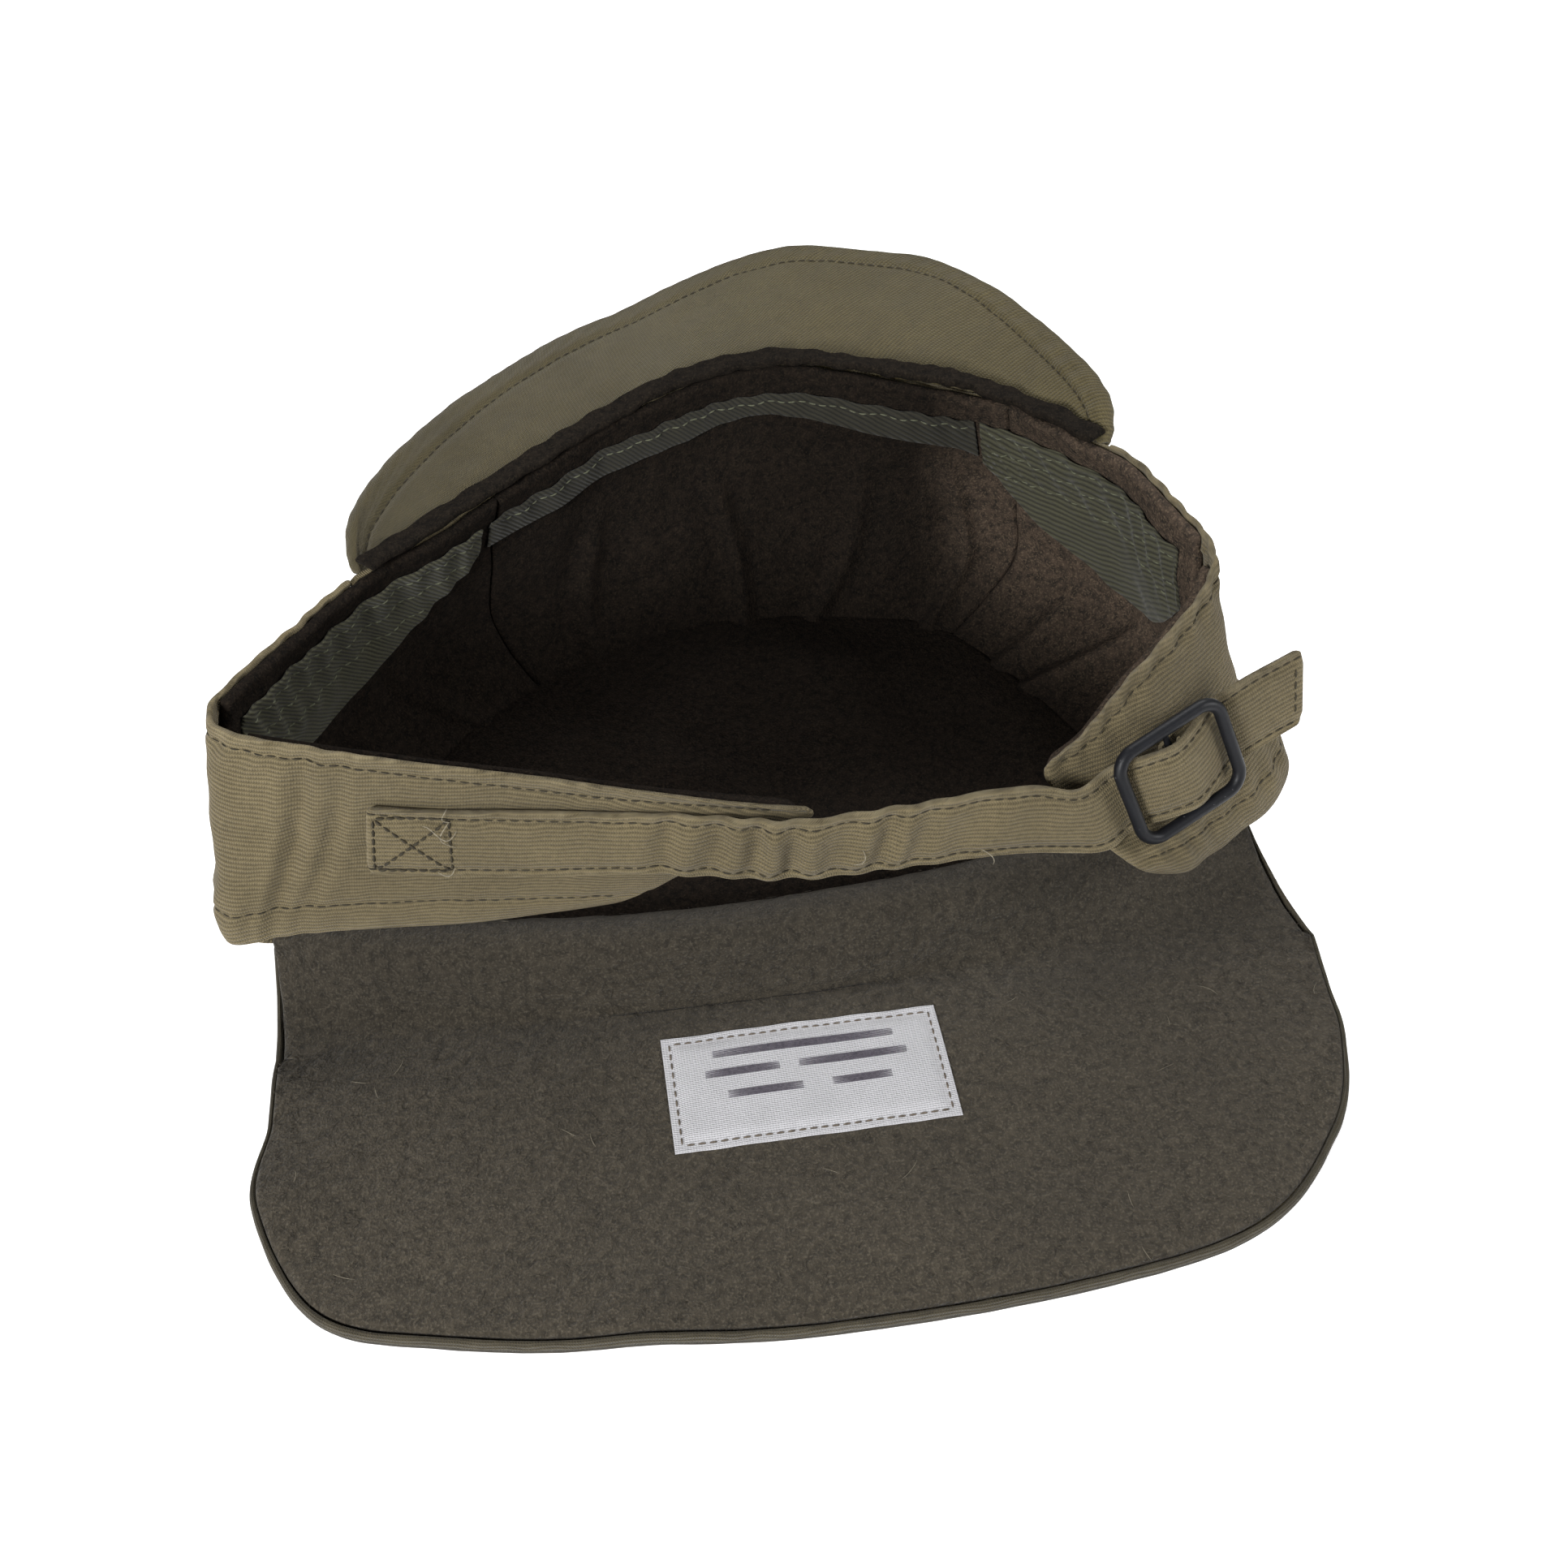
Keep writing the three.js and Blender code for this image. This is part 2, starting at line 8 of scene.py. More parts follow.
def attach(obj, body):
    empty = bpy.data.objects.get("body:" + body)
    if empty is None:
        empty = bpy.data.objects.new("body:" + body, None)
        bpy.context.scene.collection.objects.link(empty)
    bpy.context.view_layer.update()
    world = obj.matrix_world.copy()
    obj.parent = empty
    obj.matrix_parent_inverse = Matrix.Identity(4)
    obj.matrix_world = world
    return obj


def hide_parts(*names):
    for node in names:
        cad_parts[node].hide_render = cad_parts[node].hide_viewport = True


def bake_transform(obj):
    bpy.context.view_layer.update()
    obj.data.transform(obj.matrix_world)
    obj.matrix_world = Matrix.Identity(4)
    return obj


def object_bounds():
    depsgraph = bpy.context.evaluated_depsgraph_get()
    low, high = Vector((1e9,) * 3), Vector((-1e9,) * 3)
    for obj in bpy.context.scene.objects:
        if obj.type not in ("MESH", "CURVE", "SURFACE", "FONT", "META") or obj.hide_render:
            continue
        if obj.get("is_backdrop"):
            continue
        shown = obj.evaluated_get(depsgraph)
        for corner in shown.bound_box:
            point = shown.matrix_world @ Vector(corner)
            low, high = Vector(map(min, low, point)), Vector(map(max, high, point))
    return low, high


# Soft cloth deck cap, standing upside down on its crown, with its neck flap laid out behind it.
# Shapes are worked out in millimetres about the middle of the head, as the CAD model's are, and
# place() takes them to the row frame's metres.

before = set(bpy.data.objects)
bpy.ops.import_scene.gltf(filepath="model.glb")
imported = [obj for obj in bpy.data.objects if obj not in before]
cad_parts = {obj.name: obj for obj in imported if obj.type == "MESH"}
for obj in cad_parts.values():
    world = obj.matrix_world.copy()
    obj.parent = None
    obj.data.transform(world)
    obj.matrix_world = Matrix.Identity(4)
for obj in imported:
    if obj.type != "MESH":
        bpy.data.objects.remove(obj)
CAD_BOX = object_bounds()
ORIGIN_SHIFT = np.array([7.7, 13.0, 0.0])
UPWARD = np.array([0, 0, 1.0])
STEP = 1.25  # spacing of the cloth meshes' points, in mm


def place(points):
    return (np.asarray(points, float) + ORIGIN_SHIFT) / 1000


# ---- Camera and light ----------------------------------
AIM = Vector((0.0077, 0.013, 0.0))  # what the camera and the lights point at, in metres


def add_camera():
    camera = bpy.data.objects.new("camera", bpy.data.cameras.new("camera"))
    camera.data.sensor_width = 36
    camera.data.lens = 38.6
    camera.location = (-0.0358, -0.2615, 0.2877)
    camera.rotation_euler = (AIM - camera.location).to_track_quat("-Z", "Y").to_euler()
    bpy.context.collection.objects.link(camera)
    bpy.context.scene.camera = camera


def add_light(name, location, size, watts):
    lamp = bpy.data.lights.new(name, "AREA")
    lamp.shape = "DISK"
    lamp.size = size
    lamp.energy = watts
    light = bpy.data.objects.new(name, lamp)
    light.location = location
    light.rotation_euler = (AIM - light.location).to_track_quat("-Z", "Y").to_euler()
    bpy.context.collection.objects.link(light)


def add_studio():
    add_light("key", (-0.52, -0.60, 0.40), 0.30, 9.6)
    add_light("overhead", (0.14, 0.36, 0.60), 0.50, 3.3)
    add_light("fill", (0.64, -0.26, 0.43), 0.30, 3.2)
    world = bpy.data.worlds.new("studio")
    world.use_nodes = True
    world.node_tree.nodes["Background"].inputs["Color"].default_value = (1, 1, 1, 1)
    world.node_tree.nodes["Background"].inputs["Strength"].default_value = 0.12
    bpy.context.scene.world = world
    bpy.context.scene.view_settings.view_transform = "Standard"


# ---- Curves and the cap's wall -------------------------
def catmull(points, position, closed=False):
    """Points on the uniform Catmull-Rom curve through points, at position 0 to the last index."""
    points = np.asarray(points, float)
    position = np.asarray(position, float)
    count = len(points)
    if closed:
        start = np.floor(position).astype(int)
        index = [(start + k) % count for k in (-1, 0, 1, 2)]
    else:
        ends = 2 * points[[0, -1]] - points[[1, -2]]
        points = np.concatenate([ends[:1], points, ends[1:]])
        position = np.clip(position, 0, count - 1)
        start = np.minimum(np.floor(position).astype(int), count - 2)
        index = [start + k for k in range(4)]
    if points.ndim == 2:
        p, q, r, s = [points[i] for i in index]
    else:
        p, q, r, s = [np.take_along_axis(points, i[None, ..., None], axis=0)[0] for i in index]
    t = (position - start)[..., None]
    return q + 0.5 * t * (r - p + t * (2 * p - 5 * q + 4 * r - s + t * (3 * (q - r) + s - p)))


def by_length(points, share):
    """A point at a share of the length of the curve through points."""
    fine = np.linspace(0, len(points) - 1, 40 * len(points))
    step = np.linalg.norm(np.diff(catmull(points, fine), axis=0), axis=1)
    run = np.concatenate([[0], np.cumsum(step)])
    return catmull(points, np.interp(np.asarray(share) * run[-1], run, fine))


def mix(low, high, share):
    return low + (high - low) * share


def unit(vectors):
    return vectors / np.maximum(np.linalg.norm(vectors, axis=-1, keepdims=True), 1e-9)


# Stations run round the cap from the front's middle by the left side (-X), the back and the right
# side (+X): the cloth's outer face at the rim, at two heights between, and at the floor.
STATIONS = np.array([
    [[9, 67.5, 73], [8, 68, 46], [5, 65, 20], [0, 57, 0]],
    [[-18.5, 63, 71], [-19, 65, 45], [-22, 62, 20], [-24, 55, 0]],
    [[-53, 44.5, 65], [-56, 49, 44], [-58, 50, 20], [-50, 44, 0]],
    [[-91, 15, 62], [-95, 20, 43], [-95, 22, 20], [-76, 22, 0]],
    [[-107, -7, 63.5], [-111, -7, 43], [-113, -7, 20], [-90, -4, 0]],
    [[-116, -28, 66], [-119.5, -38, 43], [-120.5, -44, 20], [-99, -32, 0]],
    [[-97, -39, 65], [-100, -43.5, 43], [-105, -48.5, 21], [-84, -40, 0]],
    [[-61, -47.6, 61], [-62, -51, 42], [-62.5, -54, 24], [-48, -45, 0]],
    [[0, -57.3, 51], [-4, -58, 41], [-8, -58, 29], [0, -46, 0]],
    [[42, -53.5, 52], [51, -58.5, 40], [61, -65, 29], [42, -41, 0]],
    [[64, -41, 64], [73, -48, 45], [84, -56.5, 23], [64, -32, 0]],
    [[88, -18.5, 71], [92, -31, 46], [106, -35, 24], [82, -22, 0]],
    [[83, 2, 74], [90, 2, 46], [98, 1, 20], [72, 3, 0]],
    [[75.7, 20.4, 74], [84, 26, 46], [87, 28, 20], [61, 26, 0]],
    [[56, 48, 72], [62, 54, 46], [63, 54, 20], [47, 46, 0]],
    [[35.5, 59, 72.5], [36, 62, 46], [35, 60, 20], [25, 54, 0]],
])
ROUND = len(STATIONS)
VISOR_LEFT, VISOR_RIGHT = 3, 13
LEFT_CORNER, RIGHT_CORNER = 5, 11
LEFT_TIP, RIGHT_END = 8, 9
LEFT_SIDE, RIGHT_SIDE = 2.2, 13.8
BAND_SEAM = 0.345
BACK_EDGE = [
    [-113, -40, 12], [-98, -44.5, 12.5], [-54, -51.5, 12.5], [0, -52.5, 12.5],
    [46, -47, 12.5], [73, -40, 12.5], [97, -31, 12],
]


def wall(station, share):
    """The wall's outer face: station 0 to 16 round, share 0 at the floor to 1 at the rim."""
    station, share = np.broadcast_arrays(np.asarray(station, float), np.asarray(share, float))
    rim, waist, belly, floor = [catmull(STATIONS[:, k], station % ROUND, True) for k in range(4)]
    return catmull(np.stack([floor * (0.8, 0.8, 1), floor, belly, waist, rim]), 1 + 3 * share)


def level_outward(along):
    """The level direction out of the cap, square to a direction along its rim."""
    return unit(np.stack([along[..., 1], -along[..., 0], 0 * along[..., 0]], axis=-1))


def wall_patch(start, end, low, high):
    return lambda a, b: wall(mix(start, end, a), mix(low, high, b))


def back_edge(station):
    return catmull(BACK_EDGE, station - LEFT_CORNER)


def crown_back(a, b):
    station = mix(LEFT_CORNER + 0.04, RIGHT_CORNER - 0.04, a)
    return mix(wall(station, 0.02), back_edge(station), np.asarray(b)[..., None])


def crown_plate(inset, height):
    """A flat plate in the shape of the floor ring, as a square grid drawn out to its outline."""
    def surface(a, b):
        s, t = 2 * a - 1, 2 * b - 1
        station = np.arctan2(t, s) / (2 * math.pi) * ROUND
        reach = np.maximum(np.abs(s), np.abs(t))[..., None]
        return wall(station, 0) * (inset, inset, 0) * reach + (0, 0, height)
    return surface


# ---- Meshes --------------------------------------------
def new_piece(name, vertices, faces, look, uv=None, wear=None):
    mesh = bpy.data.meshes.new(name)
    mesh.from_pydata(place(vertices).tolist(), [], [list(face) for face in faces])
    corners = np.zeros(len(mesh.loops), int)
    mesh.loops.foreach_get("vertex_index", corners)
    if uv is not None:
        mesh.uv_layers.new(name="cloth").data.foreach_set("uv", uv[corners].ravel())
    if wear is not None:
        mesh.attributes.new("wear", "FLOAT", "POINT").data.foreach_set("value", wear)
    mesh.shade_smooth()
    mesh.materials.append(look)
    piece = bpy.data.objects.new(name, mesh)
    bpy.context.collection.objects.link(piece)
    return piece


def tube_faces(number):
    """The side faces between closed rings; number has a row of vertex numbers for each ring."""
    turned = np.roll(number, -1, axis=1)
    quads = [number[:-1], turned[:-1], turned[1:], number[1:]]
    return np.stack(quads, axis=-1).reshape(-1, 4).tolist()


def closed_tube_faces(number):
    return tube_faces(number) + [number[0, ::-1].tolist(), number[-1].tolist()]


def steps(length, spacing, edge):
    """Shares of a length in even steps, with closer ones over the edge mm at both ends."""
    near = np.array([0, 0.08, 0.3, 0.62, 1.0]) * edge / length
    middle = np.linspace(near[-1], 1 - near[-1], max(int(length / spacing), 4))
    return np.concatenate([near[:-1], middle, 1 - near[-2::-1]])


def run_along(points, axis):
    """The distance along a grid's rows or columns, from their first point."""
    step = np.linalg.norm(np.diff(points, axis=axis), axis=-1)
    return np.cumsum(np.insert(step, 0, 0, axis=axis), axis=axis)


class Sheet:
    """A cloth layer on surface(a, b), between two depths along its normal, with rounded edges.

    bend(sheet) gives how far each point is lifted along the normal, in mm."""

    def __init__(self, surface, low, high, bend=None, spacing=STEP):
        rough = surface(*np.meshgrid(np.linspace(0, 1, 9), np.linspace(0, 1, 9)))
        half = (high - low) / 2
        a = steps(run_along(rough, 1)[:, -1].max(), spacing, half)
        b = steps(run_along(rough, 0)[-1].max(), spacing, half)
        self.a, self.b = np.meshgrid(a, b)
        self.points = surface(self.a, self.b)
        self.u, self.v = run_along(self.points, 1), run_along(self.points, 0)
        self.width, self.height = self.u[:, -1:], self.v[-1:]
        sides = [self.u, self.width - self.u, self.v, self.height - self.v]
        self.inset = np.minimum.reduce(sides)
        slopes = [np.gradient(self.points, c, axis=k) for c, k in ((a, 1), (b, 0))]
        self.normal = unit(np.cross(*slopes))
        lift = (low + high) / 2 + (bend(self) if bend else np.zeros_like(self.u))
        swell = half * np.sqrt(1 - (1 - np.minimum(self.inset / half, 1)) ** 2)
        middle = self.points + self.normal * lift[..., None]
        self.top = middle + self.normal * swell[..., None]
        self.bottom = middle - self.normal * swell[..., None]

    def area(self):
        """The area of one face before it is bent, in square metres."""
        slopes = np.cross(np.diff(self.points, axis=1)[:-1], np.diff(self.points, axis=0)[:, :-1])
        return float(np.linalg.norm(slopes, axis=-1).sum()) / 1e6

    def piece(self, name, look):
        rows, columns = self.a.shape
        over = np.arange(rows * columns).reshape(rows, columns)
        under = over.copy()
        under[1:-1, 1:-1] = rows * columns + np.arange((rows - 2) * (columns - 2)).reshape(rows - 2, -1)
        quads = []
        for grid, turn in ((over, 1), (under, -1)):
            ring = [grid[:-1, :-1], grid[:-1, 1:], grid[1:, 1:], grid[1:, :-1]][::turn]
            quads.append(np.stack(ring, axis=-1).reshape(-1, 4))

        def both(over_values, under_values):
            tail = over_values.shape[2:]
            inner = under_values[1:-1, 1:-1].reshape(-1, *tail)
            return np.concatenate([over_values.reshape(-1, *tail), inner])

        uv = np.stack([self.u, self.v], axis=-1)
        wear = np.exp(-self.inset / 1.1)
        vertices = both(self.top, self.bottom)
        faces = np.concatenate(quads).tolist()
        return new_piece(name, vertices, faces, look, both(uv, uv), both(wear, wear))

    def at(self, i, j, side):
        """Points and outward normals at fractional rows i and columns j, on one face."""
        rows, columns = self.a.shape
        face = self.top if side > 0 else self.bottom
        i, j = np.clip(i, 0, rows - 1.001), np.clip(j, 0, columns - 1.001)
        i0, j0 = np.floor(i).astype(int), np.floor(j).astype(int)
        s, t = (i - i0)[..., None], (j - j0)[..., None]
        near = mix(face[i0, j0], face[i0, j0 + 1], t)
        far = mix(face[i0 + 1, j0], face[i0 + 1, j0 + 1], t)
        return mix(near, far, s), self.normal[i0, j0] * side

    def spot(self, u, v, side=1):
        """Points and normals u mm along and v mm up from the first corner."""
        u, v = np.asarray(u, float), np.asarray(v, float)
        rows, columns = np.arange(self.a.shape[0]), np.arange(self.a.shape[1])
        j = np.interp(u, self.u[len(rows) // 2], columns)
        column = np.round(j).astype(int)
        i = np.array([np.interp(w, self.v[:, k], rows) for w, k in zip(v, column)])
        return self.at(i, j, side)

    def edge_line(self, edge, inset, side=1, start=0.0, end=1.0):
        """Points and normals along one edge, inset mm in from it, over a share of its length."""
        rows, columns = np.arange(self.a.shape[0]), np.arange(self.a.shape[1])
        if edge in ("top", "bottom"):
            far = edge == "top"
            i = np.array([np.interp(self.height[0, k] - inset if far else inset, self.v[:, k], rows)
                          for k in columns])
            j, share = columns.astype(float), self.a[0]
        else:
            far = edge == "right"
            j = np.array([np.interp(self.width[k, 0] - inset if far else inset, self.u[k], columns)
                          for k in rows])
            i, share = rows.astype(float), self.b[:, 0]
        kept = (share >= start) & (share <= end)
        return self.at(i[kept], j[kept], side)


def round_corners(surface, length, height, radius, start=False, end=False):
    """The same surface with the corners rounded at its start, its end or both."""
    def shaped(a, b):
        past = np.clip(np.abs(b - 0.5) * height - height / 2 + radius, 0, radius) / radius
        short = radius * (1 - np.sqrt(1 - past ** 2)) / length
        pull = start * np.clip(1 - a / 0.2, 0, 1) - end * np.clip((a - 0.8) / 0.2, 0, 1)
        return surface(a + short * pull, b)
    return shaped


def threads(name, runs, radius, look, sides=5):
    """One mesh of round threads along the runs of points, pointed at both ends."""
    vertices, faces, base = [], [], 0
    turn = np.arange(sides) * 2 * math.pi / sides
    for run in runs:
        along = unit(np.gradient(run, axis=0))
        side = unit(np.cross(along, (0.31, 0.17, 0.93)))
        up = np.cross(side, along)
        swell = radius * np.sqrt(np.sin(np.pi * np.linspace(0.06, 0.94, len(run))))
        spread = np.cos(turn)[:, None] * side[:, None] + np.sin(turn)[:, None] * up[:, None]
        vertices.append((run[:, None] + spread * swell[:, None, None]).reshape(-1, 3))
        faces += closed_tube_faces(base + np.arange(len(run) * sides).reshape(-1, sides))
        base += len(run) * sides
    return new_piece(name, np.concatenate(vertices), faces, look)


def stitch_runs(line, pitch=2.5, length=1.9, proud=0.2):
    """Short runs of thread along a line of points and normals, dipping in at their ends."""
    points, normals = line
    run = run_along(points, 0)
    share = np.linspace(0, 1, 6)
    runs = []
    for start in np.arange(0.5, run[-1] - length, pitch):
        at = start + length * share
        middle = np.stack([np.interp(at, run, points[:, k]) for k in range(3)], axis=-1)
        lift = np.stack([np.interp(at, run, normals[:, k]) for k in range(3)], axis=-1)
        runs.append(middle + lift * (proud * np.sin(np.pi * share) ** 0.6 - 0.1)[:, None])
    return runs


def ripple(points, size):
    """Smooth noise over points, about -0.6 to 0.6, with features about size mm across."""
    flat = (points / size).reshape(-1, 3).tolist()
    return np.array([noise.noise(p) for p in flat]).reshape(points.shape[:-1])


def groove(distance, at, width=0.9):
    return np.exp(-((distance - at) / width) ** 2)


# ---- Looks ---------------------------------------------
def tint(red, green, blue):
    """A linear colour from sRGB values out of 255."""
    srgb = np.array([red, green, blue]) / 255
    linear = np.where(srgb <= 0.04045, srgb / 12.92, ((srgb + 0.055) / 1.055) ** 2.4)
    return (*linear.tolist(), 1)


class Look:
    """A material under construction: short calls add nodes and give back their outputs."""

    def __init__(self, name, shader):
        self.material = bpy.data.materials.new(name)
        self.material.use_nodes = True
        self.tree = self.material.node_tree
        self.shader = self.tree.nodes["Principled BSDF"]
        for socket, value in shader.items():
            self.shader.inputs[socket].default_value = value
        self.solid = self.node("ShaderNodeTexCoord", out="Object")
        self.cloth = self.node("ShaderNodeUVMap")

    def node(self, kind, inputs=None, out=0, **settings):
        made = self.tree.nodes.new(kind)
        for key, value in settings.items():
            setattr(made, key, value)
        for key, value in (inputs or {}).items():
            if isinstance(value, bpy.types.NodeSocket):
                self.tree.links.new(value, made.inputs[key])
            else:
                made.inputs[key].default_value = value
        return made.outputs[out]

    def math(self, operation, *values):
        return self.node("ShaderNodeMath", dict(enumerate(values)), operation=operation)

    def noise(self, size, detail=2.0, where=None):
        """Noise with features about size metres across, or size mm on the cloth's own grid."""
        inputs = {"Vector": where or self.solid, "Scale": 1 / size, "Detail": detail}
        return self.node("ShaderNodeTexNoise", inputs)

    def mix(self, factor, first, second, blend="MIX"):
        inputs = {0: factor, 6: first, 7: second}
        return self.node("ShaderNodeMix", inputs, out=2, data_type="RGBA", blend_type=blend)

    def ramp(self, value, low, high):
        """value spread so that low becomes 0 and high becomes 1."""
        inputs = {"Value": value, "From Min": low, "From Max": high}
        return self.node("ShaderNodeMapRange", inputs)

    def wave(self, distance, pitch):
        """A ridge from 0 to 1 that comes back each pitch."""
        turned = self.math("SINE", self.math("MULTIPLY", distance, 2 * math.pi / pitch))
        return self.math("MULTIPLY_ADD", turned, 0.5, 0.5)

    def across(self):
        """The cloth grid's two distances, in mm."""
        split = self.tree.nodes.new("ShaderNodeSeparateXYZ")
        self.tree.links.new(self.cloth, split.inputs[0])
        return split.outputs[0], split.outputs[1]

    def tone(self, colour, value, low, high):
        """colour made darker or lighter by value, from low to high times."""
        return self.mix(1.0, colour, self.math("MULTIPLY_ADD", value, high - low, low), "MULTIPLY")

    def finish(self, colour, height, depth):
        bump = {"Height": height, "Distance": depth, "Strength": 1.0}
        self.tree.links.new(colour, self.shader.inputs["Base Color"])
        self.tree.links.new(self.node("ShaderNodeBump", bump), self.shader.inputs["Normal"])
        return self.material


RIB_PITCH, THREAD_PITCH = 0.95, 0.5  # of the corded cotton's weave, in mm


def corded_look(name, light, dark, wear_and_lit_patch, turned=False):
    """Corded cotton: fine ribs of crossing threads, paler where wear has thinned the edges."""
    look = Look(name, {"Roughness": 0.9, "Sheen Weight": 0.08, "Sheen Roughness": 0.5,
                       "Specular IOR Level": 0.25})
    along, up = look.across()
    if turned:
        along, up = up, along
    sway = look.noise(9.0, 1.0, look.cloth)
    ridge = look.wave(look.math("MULTIPLY_ADD", sway, 1.6, up), RIB_PITCH)
    thread = look.wave(look.math("MULTIPLY_ADD", ridge, 0.25, along), THREAD_PITCH)
    slub = look.noise(0.9, 3.0, look.cloth)
    height = look.math("MULTIPLY_ADD", thread, 0.34, look.math("MULTIPLY", ridge, 0.5))
    height = look.math("MULTIPLY_ADD", slub, 0.65, height)
    colour = look.mix(look.ramp(height, 0.2, 1.1), dark, light)
    colour = look.tone(colour, look.noise(0.022, 3.0), 0.72, 1.25)
    colour = look.tone(colour, look.noise(0.0035, 2.0), 0.85, 1.15)
    rub = look.node("ShaderNodeAttribute", out="Fac", attribute_name="wear")
    rub = look.math("MULTIPLY", rub, look.ramp(look.noise(0.003), 0.35, 0.75))
    colour = look.mix(look.math("MULTIPLY", rub, 0.5), colour, wear_and_lit_patch)
    return look.finish(colour, height, 0.00034)


def wool_look(name, deep, middle, pale, sheen, painted_fold_shade=None, painted_light_gain=None):
    """Felted wool: a short nap in clumps and single pale fibres.

    It is darkened at the neck flap's fold as painted shade from the strap and wings, and lightened on
    the cap's right inside as a painted pool of light."""
    look = Look(name, {"Roughness": 1.0, "Sheen Weight": sheen, "Sheen Roughness": 0.6,
                       "Specular IOR Level": 0.1})
    clump = look.noise(0.0016, 4.0)
    fibre = look.noise(0.0005, 3.0)
    height = look.math("MULTIPLY_ADD", fibre, 0.55, look.math("MULTIPLY", clump, 0.6))
    colour = look.mix(look.ramp(clump, 0.3, 0.7), deep, middle)
    colour = look.mix(look.ramp(fibre, 0.5, 0.9), colour, pale)
    colour = look.tone(colour, look.noise(0.03, 3.0), 0.78, 1.2)
    # Painted shade: the flap's wool darkens towards its fold, where the strap and wings shade it.
    if painted_fold_shade:
        forward = look.node("ShaderNodeSeparateXYZ", {"Vector": look.solid}, out=1)
        forward = look.math("MULTIPLY_ADD", look.noise(0.025), 0.014, forward)
        colour = look.tone(colour, look.ramp(forward, -0.056, -0.040), 1.0, painted_fold_shade)
    # Painted light: a paler patch on the cap's right inside, above the floor, stands in for light
    # falling there.
    if painted_light_gain:
        right = look.node("ShaderNodeSeparateXYZ", {"Vector": look.solid}, out=0)
        right = look.math("MULTIPLY_ADD", look.noise(0.03), 0.03, right)
        above = look.node("ShaderNodeSeparateXYZ", {"Vector": look.solid}, out=2)
        wear_and_lit_patch = look.math("MULTIPLY", look.ramp(right, 0.062, 0.090), look.ramp(above, 0.004, 0.026))
        colour = look.tone(colour, wear_and_lit_patch, 1.0, painted_light_gain)
    return look.finish(colour, height, 0.0009)


def twill_look(name, light, dark):
    """Cotton twill: fine diagonal lines."""
    look = Look(name, {"Roughness": 0.85, "Sheen Weight": 0.1, "Specular IOR Level": 0.3})
    slope = {0: look.solid, 1: (520.0, 480.0, 710.0)}
    slant = look.node("ShaderNodeVectorMath", slope, out="Value", operation="DOT_PRODUCT")
    slant = look.math("MULTIPLY_ADD", look.noise(0.007, 1.0), 0.8, slant)
    height = look.math("MULTIPLY_ADD", look.noise(0.7, 3.0, look.cloth), 0.5, look.wave(slant, 0.9))
    colour = look.mix(look.ramp(height, 0.2, 1.2), dark, light)
    colour = look.tone(colour, look.noise(0.012, 3.0), 0.78, 1.2)
    return look.finish(colour, height, 0.00018)


def plain_look(name, light, dark, grain, roughness, depth):
    """Thread, board and print: two close colours in fine grain."""
    look = Look(name, {"Roughness": roughness, "Specular IOR Level": 0.3})
    height = look.noise(grain, 3.0)
    colour = look.mix(look.ramp(height, 0.3, 0.7), dark, light)
    return look.finish(colour, height, depth)


def tape_look(name):
    """White woven satin tape: tight weave, a little grey from handling."""
    look = Look(name, {"Roughness": 0.6, "Sheen Weight": 0.1, "Specular IOR Level": 0.4})
    along, up = look.across()
    weave = look.math("MULTIPLY_ADD", look.wave(along, 0.55), 0.5, look.wave(up, 0.42))
    height = look.math("MULTIPLY_ADD", look.noise(0.5, 2.0, look.cloth), 0.5, weave)
    colour = look.mix(look.ramp(height, 0.2, 1.7), tint(166, 165, 168), tint(198, 197, 201))
    colour = look.tone(colour, look.noise(0.008, 3.0), 0.9, 1.08)
    return look.finish(colour, height, 0.00012)


def enamel_look(name):
    """Black enamel on wire, with a little of the metal rubbed through."""
    look = Look(name, {"Roughness": 0.48, "Specular IOR Level": 0.22, "Coat Weight": 0.04,
                       "Coat Roughness": 0.35})
    chip = look.ramp(look.noise(0.0011, 4.0), 0.7, 0.74)
    orange_peel = look.noise(0.0007, 2.0)
    colour = look.mix(look.noise(0.004, 2.0), tint(13, 14, 16), tint(22, 23, 28))
    colour = look.mix(chip, colour, tint(64, 64, 67))
    return look.finish(colour, orange_peel, 0.00006)


CORDED = corded_look("corded_cotton", tint(110, 99, 73), tint(64, 57, 40), tint(142, 131, 104))
# Painted shade: the visor's corded cotton, ribs turned across, is a darker copy of the same cloth for
# the visor's dimmer light.
CORDED_ACROSS_SHADED = corded_look("corded_cotton_across_shaded", tint(92, 83, 55), tint(56, 50, 32),
                            tint(130, 121, 98), turned=True)
# Painted shade darkens this wool near the flap's fold.
WOOL = wool_look("wool", tint(41, 37, 30), tint(65, 59, 49), tint(97, 90, 77), 0.1,
                 painted_fold_shade=0.72)
# Painted shade: the two looks below are darker, sheenless copies of the flap's wool, for wool in shade
# at the visor's root and inside the crown.
WOOL_SHADED_WELT = wool_look("wool_shaded_welt", tint(14, 12, 10), tint(32, 27, 22), tint(52, 45, 36), 0.0)
# The inside wool also carries a painted pool of light on the cap's right side.
WOOL_SHADED_INSIDE = wool_look("wool_shaded_inside", tint(14, 12, 10), tint(32, 26, 21), tint(52, 44, 35), 0.0,
                        painted_light_gain=5.2)
TWILL = twill_look("twill", tint(72, 71, 54), tint(39, 38, 28))
# Painted shade: a darker copy of the twill, for the front facing where it lies in shade.
TWILL_SHADED = twill_look("twill_shaded", tint(48, 46, 36), tint(26, 25, 19))
